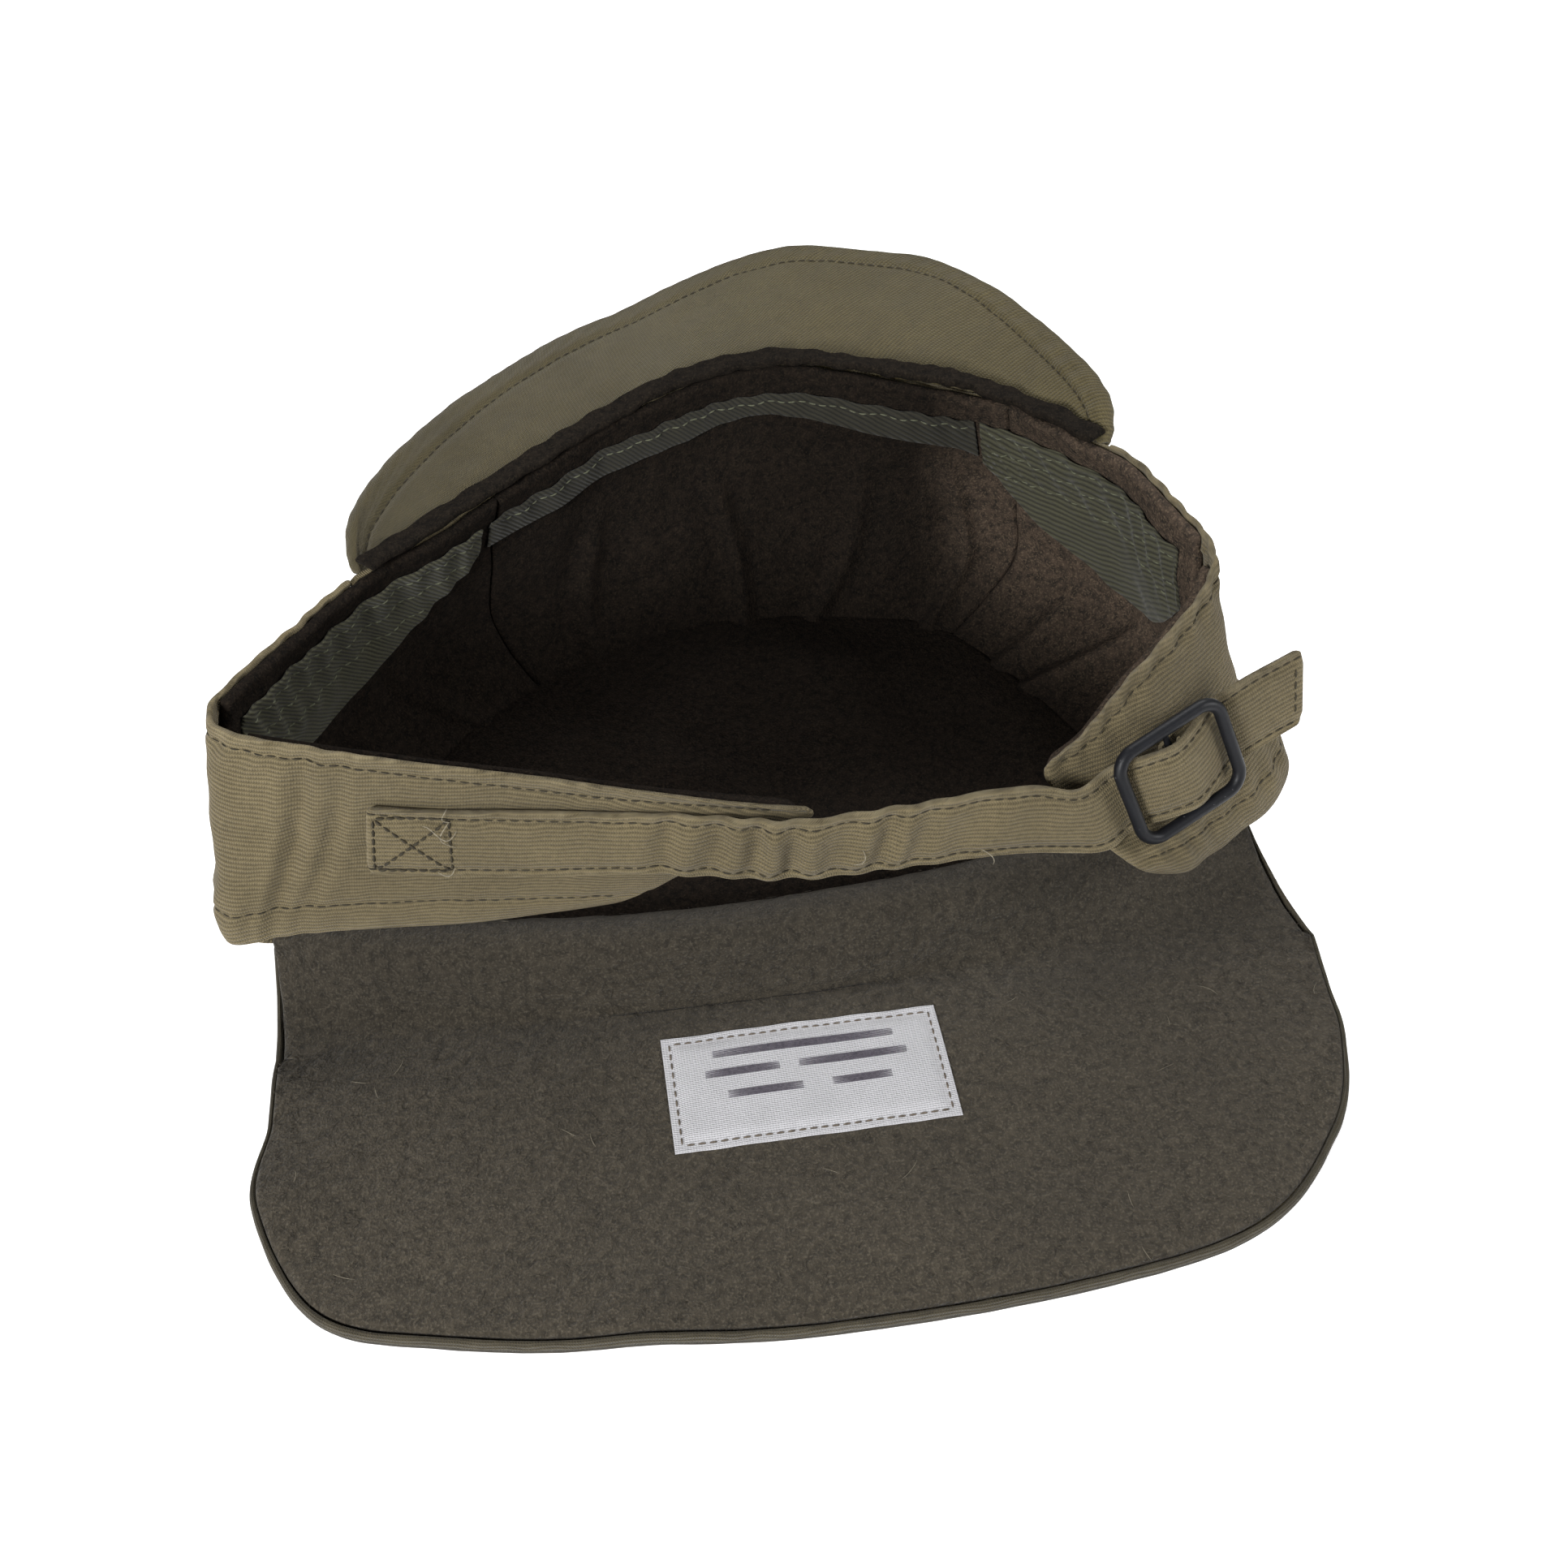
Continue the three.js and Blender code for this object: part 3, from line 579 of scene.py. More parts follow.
# Painted shade: a darker copy of the corded cotton, for the flap's edge where it curls down to the
# floor.
RIM_CLOTH_SHADED = corded_look("corded_cotton_rim_shaded", tint(64, 58, 43), tint(40, 36, 27), tint(86, 79, 62))
BOARD = plain_look("buckram", tint(185, 174, 149), tint(150, 140, 116), 0.0006, 0.9, 0.0002)
TAPE = tape_look("label_tape")
ENAMEL = enamel_look("black_enamel")
KHAKI_THREAD = plain_look("khaki_thread", tint(58, 52, 37), tint(34, 30, 21), 0.0005, 0.7, 0.0001)
PALE_THREAD = plain_look("pale_thread", tint(106, 108, 88), tint(76, 78, 62), 0.0005, 0.7, 0.0001)
BROWN_THREAD = plain_look("brown_thread", tint(112, 102, 90), tint(70, 62, 54), 0.0005, 0.7, 0.0001)
LINT = plain_look("lint", tint(150, 143, 126), tint(108, 101, 86), 0.0004, 0.9, 0.0001)
INK = plain_look("label_ink", tint(96, 92, 100), tint(66, 62, 70), 0.0006, 0.8, 0.00005)


# ---- Bends of the wall's cloth -------------------------
TOPSTITCH = {"top": 3.2, "bottom": 7.6}  # from a band's edge to its row of stitching


def rumple(sheet):
    """Soft standing folds of the wall, the same for each of its layers."""
    settled = np.clip(sheet.points[..., 2] / 14, 0, 1)
    folds = 2.0 * ripple(sheet.points * (1, 1, 0.4), 24) + 0.7 * ripple(sheet.points, 8)
    return settled * folds


def pucker(along, distance, at, pitch=7.0, depth=0.35, reach=3.5):
    """The gathers that a line of stitching draws into cloth."""
    near = np.exp(-((distance - at) / reach) ** 2)
    return depth * near * np.sin(2 * math.pi * along / pitch + 2 * np.sin(along / 11))


def stitched(sheet, gather):
    """The dips and gathers of a band's two rows of stitching."""
    lift = np.zeros_like(sheet.u)
    for distance, inset in ((sheet.height - sheet.v, TOPSTITCH["top"]), (sheet.v, TOPSTITCH["bottom"])):
        lift = lift - 0.55 * groove(distance, inset) + gather * pucker(sheet.u, distance, inset)
    return lift


def seam_bend(sheet):
    """A panel between two upright seams."""
    lift = rumple(sheet)
    for distance in (sheet.u, sheet.width - sheet.u):
        lift = lift - 0.3 * groove(distance, 2.0, 0.7) + pucker(sheet.v, distance, 2.0, 6.0, 0.25, 2.5)
    return lift


# ---- Crown and band ------------------------------------
CLOTH = 1.4  # thickness, in mm
LINING = (-4.2, -1.5)  # depths of the wall's inner layers below its outer face
FACING = (-5.3, -4.4)
FACING_TOP = 0.925  # share of the wall's height where the facings end
SEAM = 0.006  # half a crown seam's gap, in stations
BAND_GAP = 0.003  # half the gap between the band's pieces, in stations
BAND_LOW = BAND_SEAM + 0.015  # where the band's cloth starts, as a share of the wall's height
WING_CORNER = 4.5  # radius of the wings' corners
FRONT_END = ROUND + LEFT_SIDE


def settle(piece, slot, *nodes, body="cap"):
    """Puts a finished piece on its body and in place of its CAD nodes."""
    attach(piece, body)
    if nodes:
        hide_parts(*nodes)
    return piece


def outer(name, node, surface, bend):
    sheet = Sheet(surface, -CLOTH, 0, bend)
    settle(sheet.piece(name, CORDED), "corded_cotton", node)
    return sheet


def lining(name, node, surface, bend):
    sheet = Sheet(surface, *LINING, bend)
    settle(sheet.piece(name, WOOL_SHADED_INSIDE), "wool_lining", node)
    return sheet


def build_crown():
    def panel(start, end):
        return wall_patch(start + SEAM, end - SEAM, 0.0, BAND_SEAM + 0.02)

    runs = []
    for name, start, end in (("front", RIGHT_SIDE, FRONT_END), ("left", LEFT_SIDE, LEFT_CORNER),
                             ("right", RIGHT_CORNER, RIGHT_SIDE)):
        sheet = outer(f"crown_{name}_cloth", f"crown_{name}_outer", panel(start, end), seam_bend)
        for edge in ("left", "right"):
            runs += stitch_runs(sheet.edge_line(edge, 2.0))
    outer("crown_back_cloth", "crown_back_outer", crown_back, rumple)
    plate = Sheet(crown_plate(0.985, CLOTH), -CLOTH, 0)
    settle(plate.piece("crown_top_cloth", CORDED), "corded_cotton", "crown_top_outer")

    def sagged(sheet):
        from_side = np.abs(2 * sheet.a - 1) ** 3
        from_end = np.abs(2 * sheet.b - 1) ** 3
        middle = (1 - from_side) * (1 - from_end)
        return middle * (1.5 + 3.0 * ripple(sheet.points, 30) + 1.2 * ripple(sheet.points, 11))

    floor = Sheet(crown_plate(1.0, 4.6), -2.6, 0, sagged)
    settle(floor.piece("crown_top_wool", WOOL_SHADED_INSIDE), "wool_lining", "crown_top_lining")
    return runs


def band_bend(sheet):
    return rumple(sheet) + stitched(sheet, 1.3)


LEFT_WING_FOLDS = [(0.575, 0.8), (0.605, -1.2), (0.632, 1.0), (0.656, -0.9), (0.676, 0.6)]


def left_wing_bend(sheet):
    """Standing folds before the strap, and calmer cloth where the strap is sewn on.

    The folds are (share of the wing's length, height in mm)."""
    free = 1 - 0.75 * np.clip((sheet.a - 0.5) / 0.15, 0, 1)
    lean = sheet.a + 0.02 * (sheet.b - 0.5)
    within = np.sin(np.pi * (0.9 * sheet.b + 0.05))
    lift = rumple(sheet) * free
    for at, height in LEFT_WING_FOLDS:
        lift = lift + height * groove(lean, at, 0.013) * within
    return lift + stitched(sheet, free)


def left_wing(a, b):
    station = mix(VISOR_LEFT + BAND_GAP, mix(LEFT_TIP - 0.5, LEFT_TIP, b), a)
    return wall(station, mix(BAND_LOW + 0.05 * np.asarray(a) ** 6, 1, b))


def right_wing(a, b):
    return wall(mix(RIGHT_END, VISOR_RIGHT - BAND_GAP, a), mix(BAND_LOW, 1, b))


def build_band():
    front = wall_patch(VISOR_RIGHT + BAND_GAP, ROUND + VISOR_LEFT - BAND_GAP, BAND_LOW, 0.985)
    left = round_corners(left_wing, 175, 34, WING_CORNER, end=True)
    right = round_corners(right_wing, 130, 36, WING_CORNER, start=True)
    runs = []
    for name, surface, bend in (("front_band", front, band_bend), ("left_wing", left, left_wing_bend),
                                ("right_wing", right, band_bend)):
        sheet = outer(f"{name}_cloth", f"{name}_outer", surface, bend)
        for edge in ("top", "bottom"):
            runs += stitch_runs(sheet.edge_line(edge, TOPSTITCH[edge], 1, 0.02, 0.98))
    return runs


# ---- Linings and facings -------------------------------
def pleats(sheet, places, top=0.74):
    """Upright creases pressed into the lining; places are (share of width, lean, depth).

    They end at top, a share of the wall's height, and so behind the facing."""
    lift = rumple(sheet)
    for share, lean, depth in places:
        middle = (share + lean * (sheet.v / sheet.height - 0.5)) * sheet.width
        valley = groove(sheet.u, middle, 2.6) - 0.25 * groove(sheet.u, middle + 5.5, 3.2)
        below_facing = np.clip((top - sheet.v / sheet.height) / 0.25, 0, 1)
        lift = lift - depth * valley * below_facing
    return lift


def build_lining():
    def patch(start, end):
        return wall_patch(start, end, 0.0, 1.0)

    front_pleats = ((0.12, 0.12, 2.6), (0.3, -0.08, 2.2), (0.55, 0.12, 2.4), (0.8, -0.1, 2.0))
    left_pleats = ((0.3, 0.15, 1.2), (0.7, -0.12, 1.4))
    right_pleats = ((0.22, 0.2, 2.4), (0.5, -0.15, 2.8), (0.78, 0.1, 2.2))
    lining("crown_front_wool", "crown_front_lining", patch(RIGHT_SIDE, FRONT_END),
           lambda sheet: pleats(sheet, front_pleats))
    lining("crown_left_wool", "crown_left_lining", patch(LEFT_SIDE, LEFT_CORNER - 0.3),
           lambda sheet: pleats(sheet, left_pleats, 0.5))
    lining("crown_right_wool", "crown_right_lining", patch(RIGHT_CORNER + 0.35, RIGHT_SIDE),
           lambda sheet: pleats(sheet, right_pleats, 0.5))
    lining("crown_back_wool", "crown_back_lining", crown_back, rumple)

    def left(a, b):
        return left_wing(mix(0.5, 0.99, a), mix(0.02, 0.985, b))

    def right(a, b):
        return right_wing(mix(0.01, 0.5, a), mix(0.02, 0.985, b))

    lining("left_wing_wool", "left_wing_lining",
           round_corners(left, 88, 33, WING_CORNER, end=True), lambda sheet: 0.25 * rumple(sheet))
    lining("right_wing_wool", "right_wing_lining",
           round_corners(right, 65, 35, WING_CORNER, start=True), rumple)


def facing(name, start, end, depth_at, rows, look=TWILL):
    """Twill facing inside the rim, with rows of stitching through it that gather it."""
    def surface(a, b):
        return wall(mix(start, end, a), mix(FACING_TOP - depth_at(a), FACING_TOP, b))

    def bend(sheet):
        lift = rumple(sheet)
        for inset in rows:
            distance = sheet.height - sheet.v
            lift = lift + 0.25 * groove(distance, inset, 0.8)
            lift = lift + pucker(sheet.u, distance, inset, 8.0, 0.45, 4.0)
        return lift

    sheet = Sheet(surface, *FACING, bend)
    settle(sheet.piece(f"{name}_twill", look), "cotton_twill", name)
    runs = []
    for inset in rows:
        tall = sheet.a[0][(sheet.height[0] > inset + 1.5)]
        if len(tall) > 8:
            runs += stitch_runs(sheet.edge_line("top", inset, -1, tall[0] + 0.01, tall[-1] - 0.01))
    return runs


def build_facings():
    def side_depth(a):
        return 0.16 + 0.3 * np.sin(np.pi * np.clip(a, 0, 1)) ** 0.8

    rows = (3.0, 9.5, 16.5)
    runs = facing("sweatband_front", RIGHT_SIDE + 0.3, FRONT_END + 0.05,
                  lambda a: 0.07 + 0.07 * np.abs(2 * a - 1), (2.2,), TWILL_SHADED)
    runs += facing("sweatband_left", LEFT_SIDE + 0.1, LEFT_CORNER - 0.45, side_depth, rows)
    runs += facing("sweatband_right", RIGHT_CORNER + 0.6, RIGHT_SIDE + 0.25, side_depth, rows)
    return runs


# ---- Visor ---------------------------------------------
VISOR_EDGE = [
    [76, 27, 78], [75.5, 44, 81.5], [67.4, 74, 80.5], [54.5, 98.5, 79], [36, 111, 77],
    [12, 114, 77], [-21.3, 99.9, 74], [-59, 76.3, 71], [-83.2, 47.5, 69], [-92.5, 27, 66],
]
VISOR_ROLL = 2.4  # radius of the rolled edge
VISOR_TURN = 0.44  # share of the cover's width where its roll starts
VISOR_BORDER = 5.2  # from the edge to the row of stitching
VISOR_COVER = 1.2
VISOR_ROUNDED = 0.035  # share of its length over which each end is rounded


def visor_root(share):
    def span(at):
        return wall(mix(VISOR_RIGHT + 0.1, ROUND + VISOR_LEFT - 0.1, np.clip(at, 0, 1)), 1)

    along = span(share + 0.01) - span(share - 0.01)
    return span(share) + level_outward(along) * 0.6 - (0, 0, 1.7)


def visor(a, b):
    """The visor's visible face: a from its right end to its left end, b from root to edge."""
    root, edge = visor_root(a), by_length(VISOR_EDGE, a)
    reach = np.linalg.norm(root - edge, axis=-1, keepdims=True)
    out = (reach - VISOR_ROLL - 0.7) / reach * visor_end(a)[..., None]
    return mix(root, edge, np.asarray(b)[..., None] * out)


def visor_end(a):
    """How wide the visor is beside its full width, rounded off at both ends."""
    near = np.clip(np.minimum(a, 1 - a) / VISOR_ROUNDED, 0, 1)
    return 0.04 + 0.96 * np.sqrt(1 - (1 - near) ** 2)


def visor_down(a):
    """The direction through the visor at its edge, and the way out from it."""
    along = visor(np.minimum(a + 0.01, 1), 1 + 0 * a) - visor(np.maximum(a - 0.01, 0), 1 + 0 * a)
    out = visor(a, 1 + 0 * a) - visor(a, 0.9 + 0 * a)
    down = unit(np.cross(along, out))
    return down, unit(np.cross(down, along))


def visor_cover(a, b):
    """The cover's outer face: out along the visible side, round the edge and back below."""
    run = np.minimum(b, 1 - b) / VISOR_TURN
    flat = visor(a, np.clip(run, 0, 1))
    down, outward = visor_down(a)
    turn = np.clip((b - VISOR_TURN) / (1 - 2 * VISOR_TURN), 0, 1) * math.pi - math.pi / 2
    radius = VISOR_ROLL * (0.3 + 0.7 * visor_end(a))
    depth = (radius * (1 + np.sin(turn)))[..., None]
    reach = (radius * np.cos(turn) * (run >= 1))[..., None]
    return flat + down * depth + outward * reach


def build_visor():
    def visor_reach(a):
        return np.linalg.norm(visor_root(a) - by_length(VISOR_EDGE, a), axis=-1) * visor_end(a)

    def bend(sheet):
        reach = visor_reach(sheet.a)
        run = np.minimum(sheet.b, 1 - sheet.b) / VISOR_TURN
        from_edge = (1 - run) * reach
        border = 0.45 * groove(from_edge, VISOR_BORDER, 0.8)
        border = border - 0.3 * groove(from_edge, VISOR_BORDER - 1.8, 1.3)
        tuck = pucker(sheet.u, from_edge, 1.5, 5.5, 0.22, 3.0)
        return border + tuck + 0.7 * ripple(sheet.points, 22) + 0.25 * ripple(sheet.points, 7)

    cover = Sheet(visor_cover, 0, VISOR_COVER, bend)
    settle(cover.piece("visor_cloth", CORDED_ACROSS_SHADED), "corded_cotton",
           "visor_under_cover", "visor_upper_cover", "visor_edge_roll")
    board = Sheet(visor, 1.5, 3.1, spacing=2 * STEP)
    settle(board.piece("visor_buckram", BOARD), "buckram_board", "visor_board")

    def welt(a, b):
        station = mix(VISOR_RIGHT + 0.1, ROUND + VISOR_LEFT - 0.1, a)
        along = wall(station + 0.02, 1) - wall(station - 0.02, 1)
        ragged = mix(-3.8, 1.7, b) + 0.5 * np.sin(station * 31) * (b - 0.5)
        return wall(station, 1) + level_outward(along) * ragged[..., None] + (0, 0, 0.3)

    edge_strip = Sheet(welt, -2.0, 0, lambda sheet: 0.9 * ripple(sheet.points, 6))
    settle(edge_strip.piece("visor_root_wool", WOOL_SHADED_WELT), "wool_lining", "visor_root_welt")

    shares = VISOR_TURN * np.clip(1 - VISOR_BORDER / visor_reach(cover.a[0]), 0, 1)
    i = np.interp(shares, cover.b[:, 0], np.arange(len(cover.b)))
    return stitch_runs(cover.at(i, np.arange(len(i), dtype=float), -1))


# ---- Neck flap -----------------------------------------
HINGE_Y, HINGE_Z = -65.0, 4.3
FLAP_HEM = [
    [105, HINGE_Y, 0], [103, -79, 0], [100.5, -94, 0], [91, -113.5, 0], [66, -132, 0], [13, -138, 0],
    [-48, -135.5, 0], [-82, -129.5, 0], [-104.5, -121.5, 0], [-116, -99, 0], [-114.5, -80, 0],
    [-114, HINGE_Y, 0],
]
ROOT_SHARE = 0.16  # share of the flap's length that climbs to the crown's back edge
FLAP_WOOL = (1.7, 4.2)
LABEL = {"width": 57.0, "depth": 27.0, "thick": 0.45, "x": -8.5, "y": -85.7}


def flap(a, b):
    """The whole flap from the crown's back edge over the fold line to the hem, right to left."""
    b = np.asarray(b)[..., None]
    root = np.clip(b / ROOT_SHARE, 0, 1)
    top = back_edge(mix(RIGHT_CORNER, LEFT_CORNER, a)) + (0, -2, -1)
    foot = np.stack([mix(104.5, -113.8, a), HINGE_Y + 0 * a, 0 * a], axis=-1)
    hem = by_length(FLAP_HEM, a)
    hem[..., 1] = np.minimum(hem[..., 1], HINGE_Y)
    point = mix(mix(top, foot, root), hem, np.clip((b - ROOT_SHARE) / (1 - ROOT_SHARE), 0, 1))
    point[..., 2] = (top[..., 2:] * (1 - root) ** 2)[..., 0]
    return point


def flap_wool(a, b):
    """The flap's wool, which also climbs over the crown's back edge and a little way inside."""
    b = np.asarray(b)
    edge = back_edge(mix(RIGHT_CORNER, LEFT_CORNER, a))
    slope = [flap(a, share * ROOT_SHARE + 0 * b) for share in (0.62, 1.0, 1.4)]
    over = [edge + offset for offset in ((0, 4, -2.2), (0, 1, 0.6), (0, -3.4, -1.6))]
    down = np.clip(b / ROOT_SHARE, 0, 1)
    climb = catmull(np.stack(over + slope), 4 * down)
    settled = np.clip(2 * down - 1, 0, 1)[..., None]
    return mix(climb, flap(a, b), settled ** 2 * (3 - 2 * settled))


def flap_wave(points):
    """How far the flap stands off the floor: waves at its left side, its right side and its hem."""
    x, y = points[..., 0], points[..., 1]
    left = 2.6 * np.exp(-((x + 114) / 12) ** 2) * (0.5 + 0.5 * np.sin((y + 70) / 6.0))
    right = 1.4 * np.exp(-((x - 100) / 12) ** 2) * (0.5 + 0.5 * np.sin((y + 64) / 8.0))
    hem = 2.2 * np.exp(-((x + 47) / 12) ** 2) * np.exp(-((y + 137) / 14) ** 2)
    swell = 0.35 + 0.9 * ripple(points * (1, 1, 0), 28)
    return (left + right + hem + np.maximum(swell, 0)) * np.clip((-66 - y) / 12, 0, 1)


def root_folds(sheet):
    """The ridges of wool below the crown's back edge."""
    sway = 1.5 * ripple(sheet.points, 30)
    ridge = 1.5 * groove(sheet.v, 6.0 + sway, 2.2) + 1.8 * groove(sheet.v, 15.0 - sway, 2.2)
    dip = 1.3 * groove(sheet.v, 10.6 + sway, 1.3) + 0.6 * groove(sheet.v, 19.5 - sway, 1.8)
    return ridge - dip


def fold_with_flap(piece):
    start, end = place((0, HINGE_Y + 7, HINGE_Z)), place((0, HINGE_Y - 8, HINGE_Z))
    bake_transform(piece)


def build_flap():
    cloth = Sheet(flap, 0.05, 1.55, lambda sheet: flap_wave(sheet.points))

    def inner(a, b):
        return flap_wool(mix(0.004, 0.996, a), mix(0, 0.992, b))

    def bend(sheet):
        return flap_wave(sheet.points) + root_folds(sheet) + 0.3 * ripple(sheet.points, 5)

    wool = Sheet(inner, *FLAP_WOOL, bend)
    parts = [
        (cloth.piece("flap_cloth", CORDED), "corded_cotton", ("flap_root_outer", "flap_outer")),
        (wool.piece("flap_wool", WOOL), "wool_lining", ("flap_root_lining", "flap_lining")),
        (build_flap_rim(), "corded_cotton", ("flap_edge_binding",)),
    ]
    for piece, slot, nodes in parts:
        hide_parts(*nodes)
        fold_with_flap(piece)
    return cloth, wool, [part[0] for part in parts]


def build_flap_rim():
    """The outer cloth turned round the flap's edge, up its sides to the crown's corners."""
    climb = np.linspace(0.04, 0.97, 12)
    sides = [flap(np.full(12, float(end)), climb * ROOT_SHARE) for end in (0, 1)]
    hem = by_length(FLAP_HEM, np.linspace(0.004, 0.996, int(420 / STEP)))
    path = np.concatenate([sides[0], hem, sides[1][::-1]])
    along = unit(np.gradient(path, axis=0))
    outward = unit(np.stack([-along[:, 1], along[:, 0], 0 * along[:, 0]], axis=-1))
    lift = flap_wave(path)[:, None]
    turn = np.linspace(0, 2 * math.pi, 14, endpoint=False)
    wide = 0.75 + 0.12 * ripple(path, 6)[:, None]
    reach = 0.3 + np.cos(turn) * wide
    rise = 1.95 + np.sin(turn) * (1.9 + 0.12 * ripple(path, 5)[:, None])
    rings = path[:, None] + outward[:, None] * reach[..., None] + UPWARD * (rise + lift)[..., None]
    rows, count = rings.shape[:2]
    faces = closed_tube_faces(np.arange(rows * count).reshape(rows, count))
    run = run_along(path, 0)
    uv = np.stack([np.repeat(run, count), np.tile(turn * 1.7, rows)], axis=-1)
    wear = np.full(rows * count, 0.5)
    return new_piece("flap_rim", rings.reshape(-1, 3), faces, RIM_CLOTH_SHADED, uv, wear)


# The printed bars, in mm from the label's corner: start and end along it, and height up it.
LABEL_BARS = [(10, 47, 5.8), (8, 30, 10.4), (34, 49, 10.4), (12, 24, 15.6), (30, 45, 15.6)]


def build_label():
    """The sewn-on size label, with plain printed bars in place of lettering."""
    def surface(a, b):
        x = LABEL["x"] + LABEL["width"] * (0.5 - a)
        y = LABEL["y"] + LABEL["depth"] * (0.5 - b)
        ground = np.stack([x, y, 0 * x], axis=-1)
        return ground + UPWARD * (flap_wave(ground) + FLAP_WOOL[1] + 0.35)[..., None]

    def bend(sheet):
        quilt = 0.28 * np.clip(sheet.inset - 2.2, 0, 1.5) - 0.25 * groove(sheet.inset, 1.6, 0.5)
        return quilt + 0.12 * np.sin(sheet.u / 2.1) * np.exp(-sheet.inset / 2.5)

    sheet = Sheet(surface, -LABEL["thick"], 0, bend, spacing=min(STEP, 0.8))
    tape = sheet.piece("size_label_tape", TAPE)
    pieces = [settle(tape, "label_tape", "size_label", body="neck_flap")]
    runs = []
    for edge in ("top", "bottom", "left", "right"):
        runs += stitch_runs(sheet.edge_line(edge, 1.6, 1, 0.03, 0.97), 2.2, 1.6)
    stitching = threads("label_stitching", runs, 0.2, BROWN_THREAD)
    bars = []
    for start, end, up in LABEL_BARS:
        at = np.linspace(start, end, 16)
        for offset in np.linspace(-0.7, 0.7, 5):
            points, normals = sheet.spot(at, np.full(16, up + offset))
            bars.append(points + 0.02 * normals)
    printing = threads("label_bars", bars, 0.2, INK, 4)
    for piece in (stitching, printing):
        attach(piece, "neck_flap")
        pieces.append(piece)
    return pieces


# ---- Strap and buckle ----------------------------------
BUCKLE_CENTRE = np.array([70.4, -57, 50.3])
# The buckle's own directions: ALONG the strap, UP its width and OUT of the cloth.
HEADING, TILT, ROLL = (math.radians(angle) for angle in (15, 22, 16))
FACING_OUT = np.array([math.sin(HEADING), -math.cos(HEADING), 0])
OUT = FACING_OUT * math.cos(TILT) + UPWARD * math.sin(TILT)
LEVEL = np.array([math.cos(HEADING), math.sin(HEADING), 0])
ALONG = LEVEL * math.cos(ROLL) + np.cross(OUT, LEVEL) * math.sin(ROLL)
UP = np.cross(OUT, ALONG)
STRAP_WIDTH, STRAP_THICK = 16.0, 1.8
BUCKLE_LENGTH, BUCKLE_HEIGHT, WIRE, CORNER = 27.0, 24.0, 1.35, 4.2


def in_buckle(along, up, out):
    along, up, out = np.broadcast_arrays(*(np.asarray(x, float)[..., None] for x in (along, up, out)))
    return BUCKLE_CENTRE + along * ALONG + up * UP + out * OUT


def on_left_wing(station, share):
    """A point of the wall lifted off the left wing by the strap's thickness."""
    around = wall(station + 0.01, share) - wall(station - 0.01, share)
    normal = unit(np.cross(around, wall(station, share + 0.001) - wall(station, share - 0.001)))
    return wall(station, share) + normal * (0.3 + STRAP_THICK)


def strap_edge(side, shares, middle, tail):
    """One long edge of the strap: sewn on, across the back, through the buckle and its tail."""
    sewn = [on_left_wing(station, share) for station, share in zip((6.35, 6.7, 7.1, 7.5), shares)]
    half = side * STRAP_WIDTH / 2
    through = [in_buckle(along, half, out) for along, out in (
        (-20.5, -2.2), (-12, -2.5), (-6, 0.8), (0, 2.9), (6, 0.8), (12, -2.5), (16, -2.6))]
    free = [in_buckle(along, half * (1 - 0.06 * k / 3), out)
            for k, (along, out) in enumerate(zip(tail, (-2.5, -2.2, -1.8, -1.4)))]
    return np.array(sewn + [np.array(p) for p in middle] + through + free)


STRAP_LOWER = strap_edge(-1, (0.6, 0.6, 0.59, 0.58),
                         ((-8, -61.2, 36.3), (16, -62, 36.8), (38, -62.6, 37.6)),
                         (20, 23, 26, 29.5))
STRAP_UPPER = strap_edge(1, (0.84, 0.85, 0.88, 0.93),
                         ((-8, -60.6, 52.3), (16, -60.4, 52.7), (38, -59.3, 53.2)),
                         (21, 25.5, 30, 34.5))


def strap(a, b):
    fine = np.linspace(0, len(STRAP_LOWER) - 1, 800)
    middle = (catmull(STRAP_LOWER, fine) + catmull(STRAP_UPPER, fine)) / 2
    run = run_along(middle, 0)
    position = np.interp(a * run[-1], run, fine)
    return mix(catmull(STRAP_LOWER, position), catmull(STRAP_UPPER, position), np.asarray(b)[..., None])


def strap_bend(sheet):
    """Crushed across its free middle, and drawn in along both rows of edge stitching."""
    from_edge = np.minimum(sheet.v, sheet.height - sheet.v)
    free = np.clip((sheet.u - 40) / 12, 0, 1) * np.clip((142 - sheet.u) / 14, 0, 1)
    crush = 0.75 * ripple(sheet.points * (1, 1, 0.3), 5.5)
    crush = crush + 0.9 * ripple(sheet.points * (1, 1, 0.5), 13)
    packed = np.clip((sheet.u - 48) / 12, 0, 1) * np.clip((118 - sheet.u) / 16, 0, 1)
    crush = 1.3 * crush + 1.1 * packed * np.sin(sheet.u / 1.35 + 2.2 * ripple(sheet.points, 16))
    lift = free * crush * (0.3 + 0.7 * np.clip(from_edge / 4, 0, 1))
    return lift - 0.4 * groove(from_edge, 2.0, 0.7) + 0.25 * np.clip(from_edge - 2.6, 0, 1.2)


# The box of stitching at the strap's sewn end, in mm along and up it: round it, then both diagonals.
BOX_SEAMS = [
    [(1.6, 1.8), (16.5, 1.8), (16.5, 14.2), (1.6, 14.2), (1.6, 1.8)],
    [(1.6, 1.8), (16.5, 14.2)], [(1.6, 14.2), (16.5, 1.8)],
]


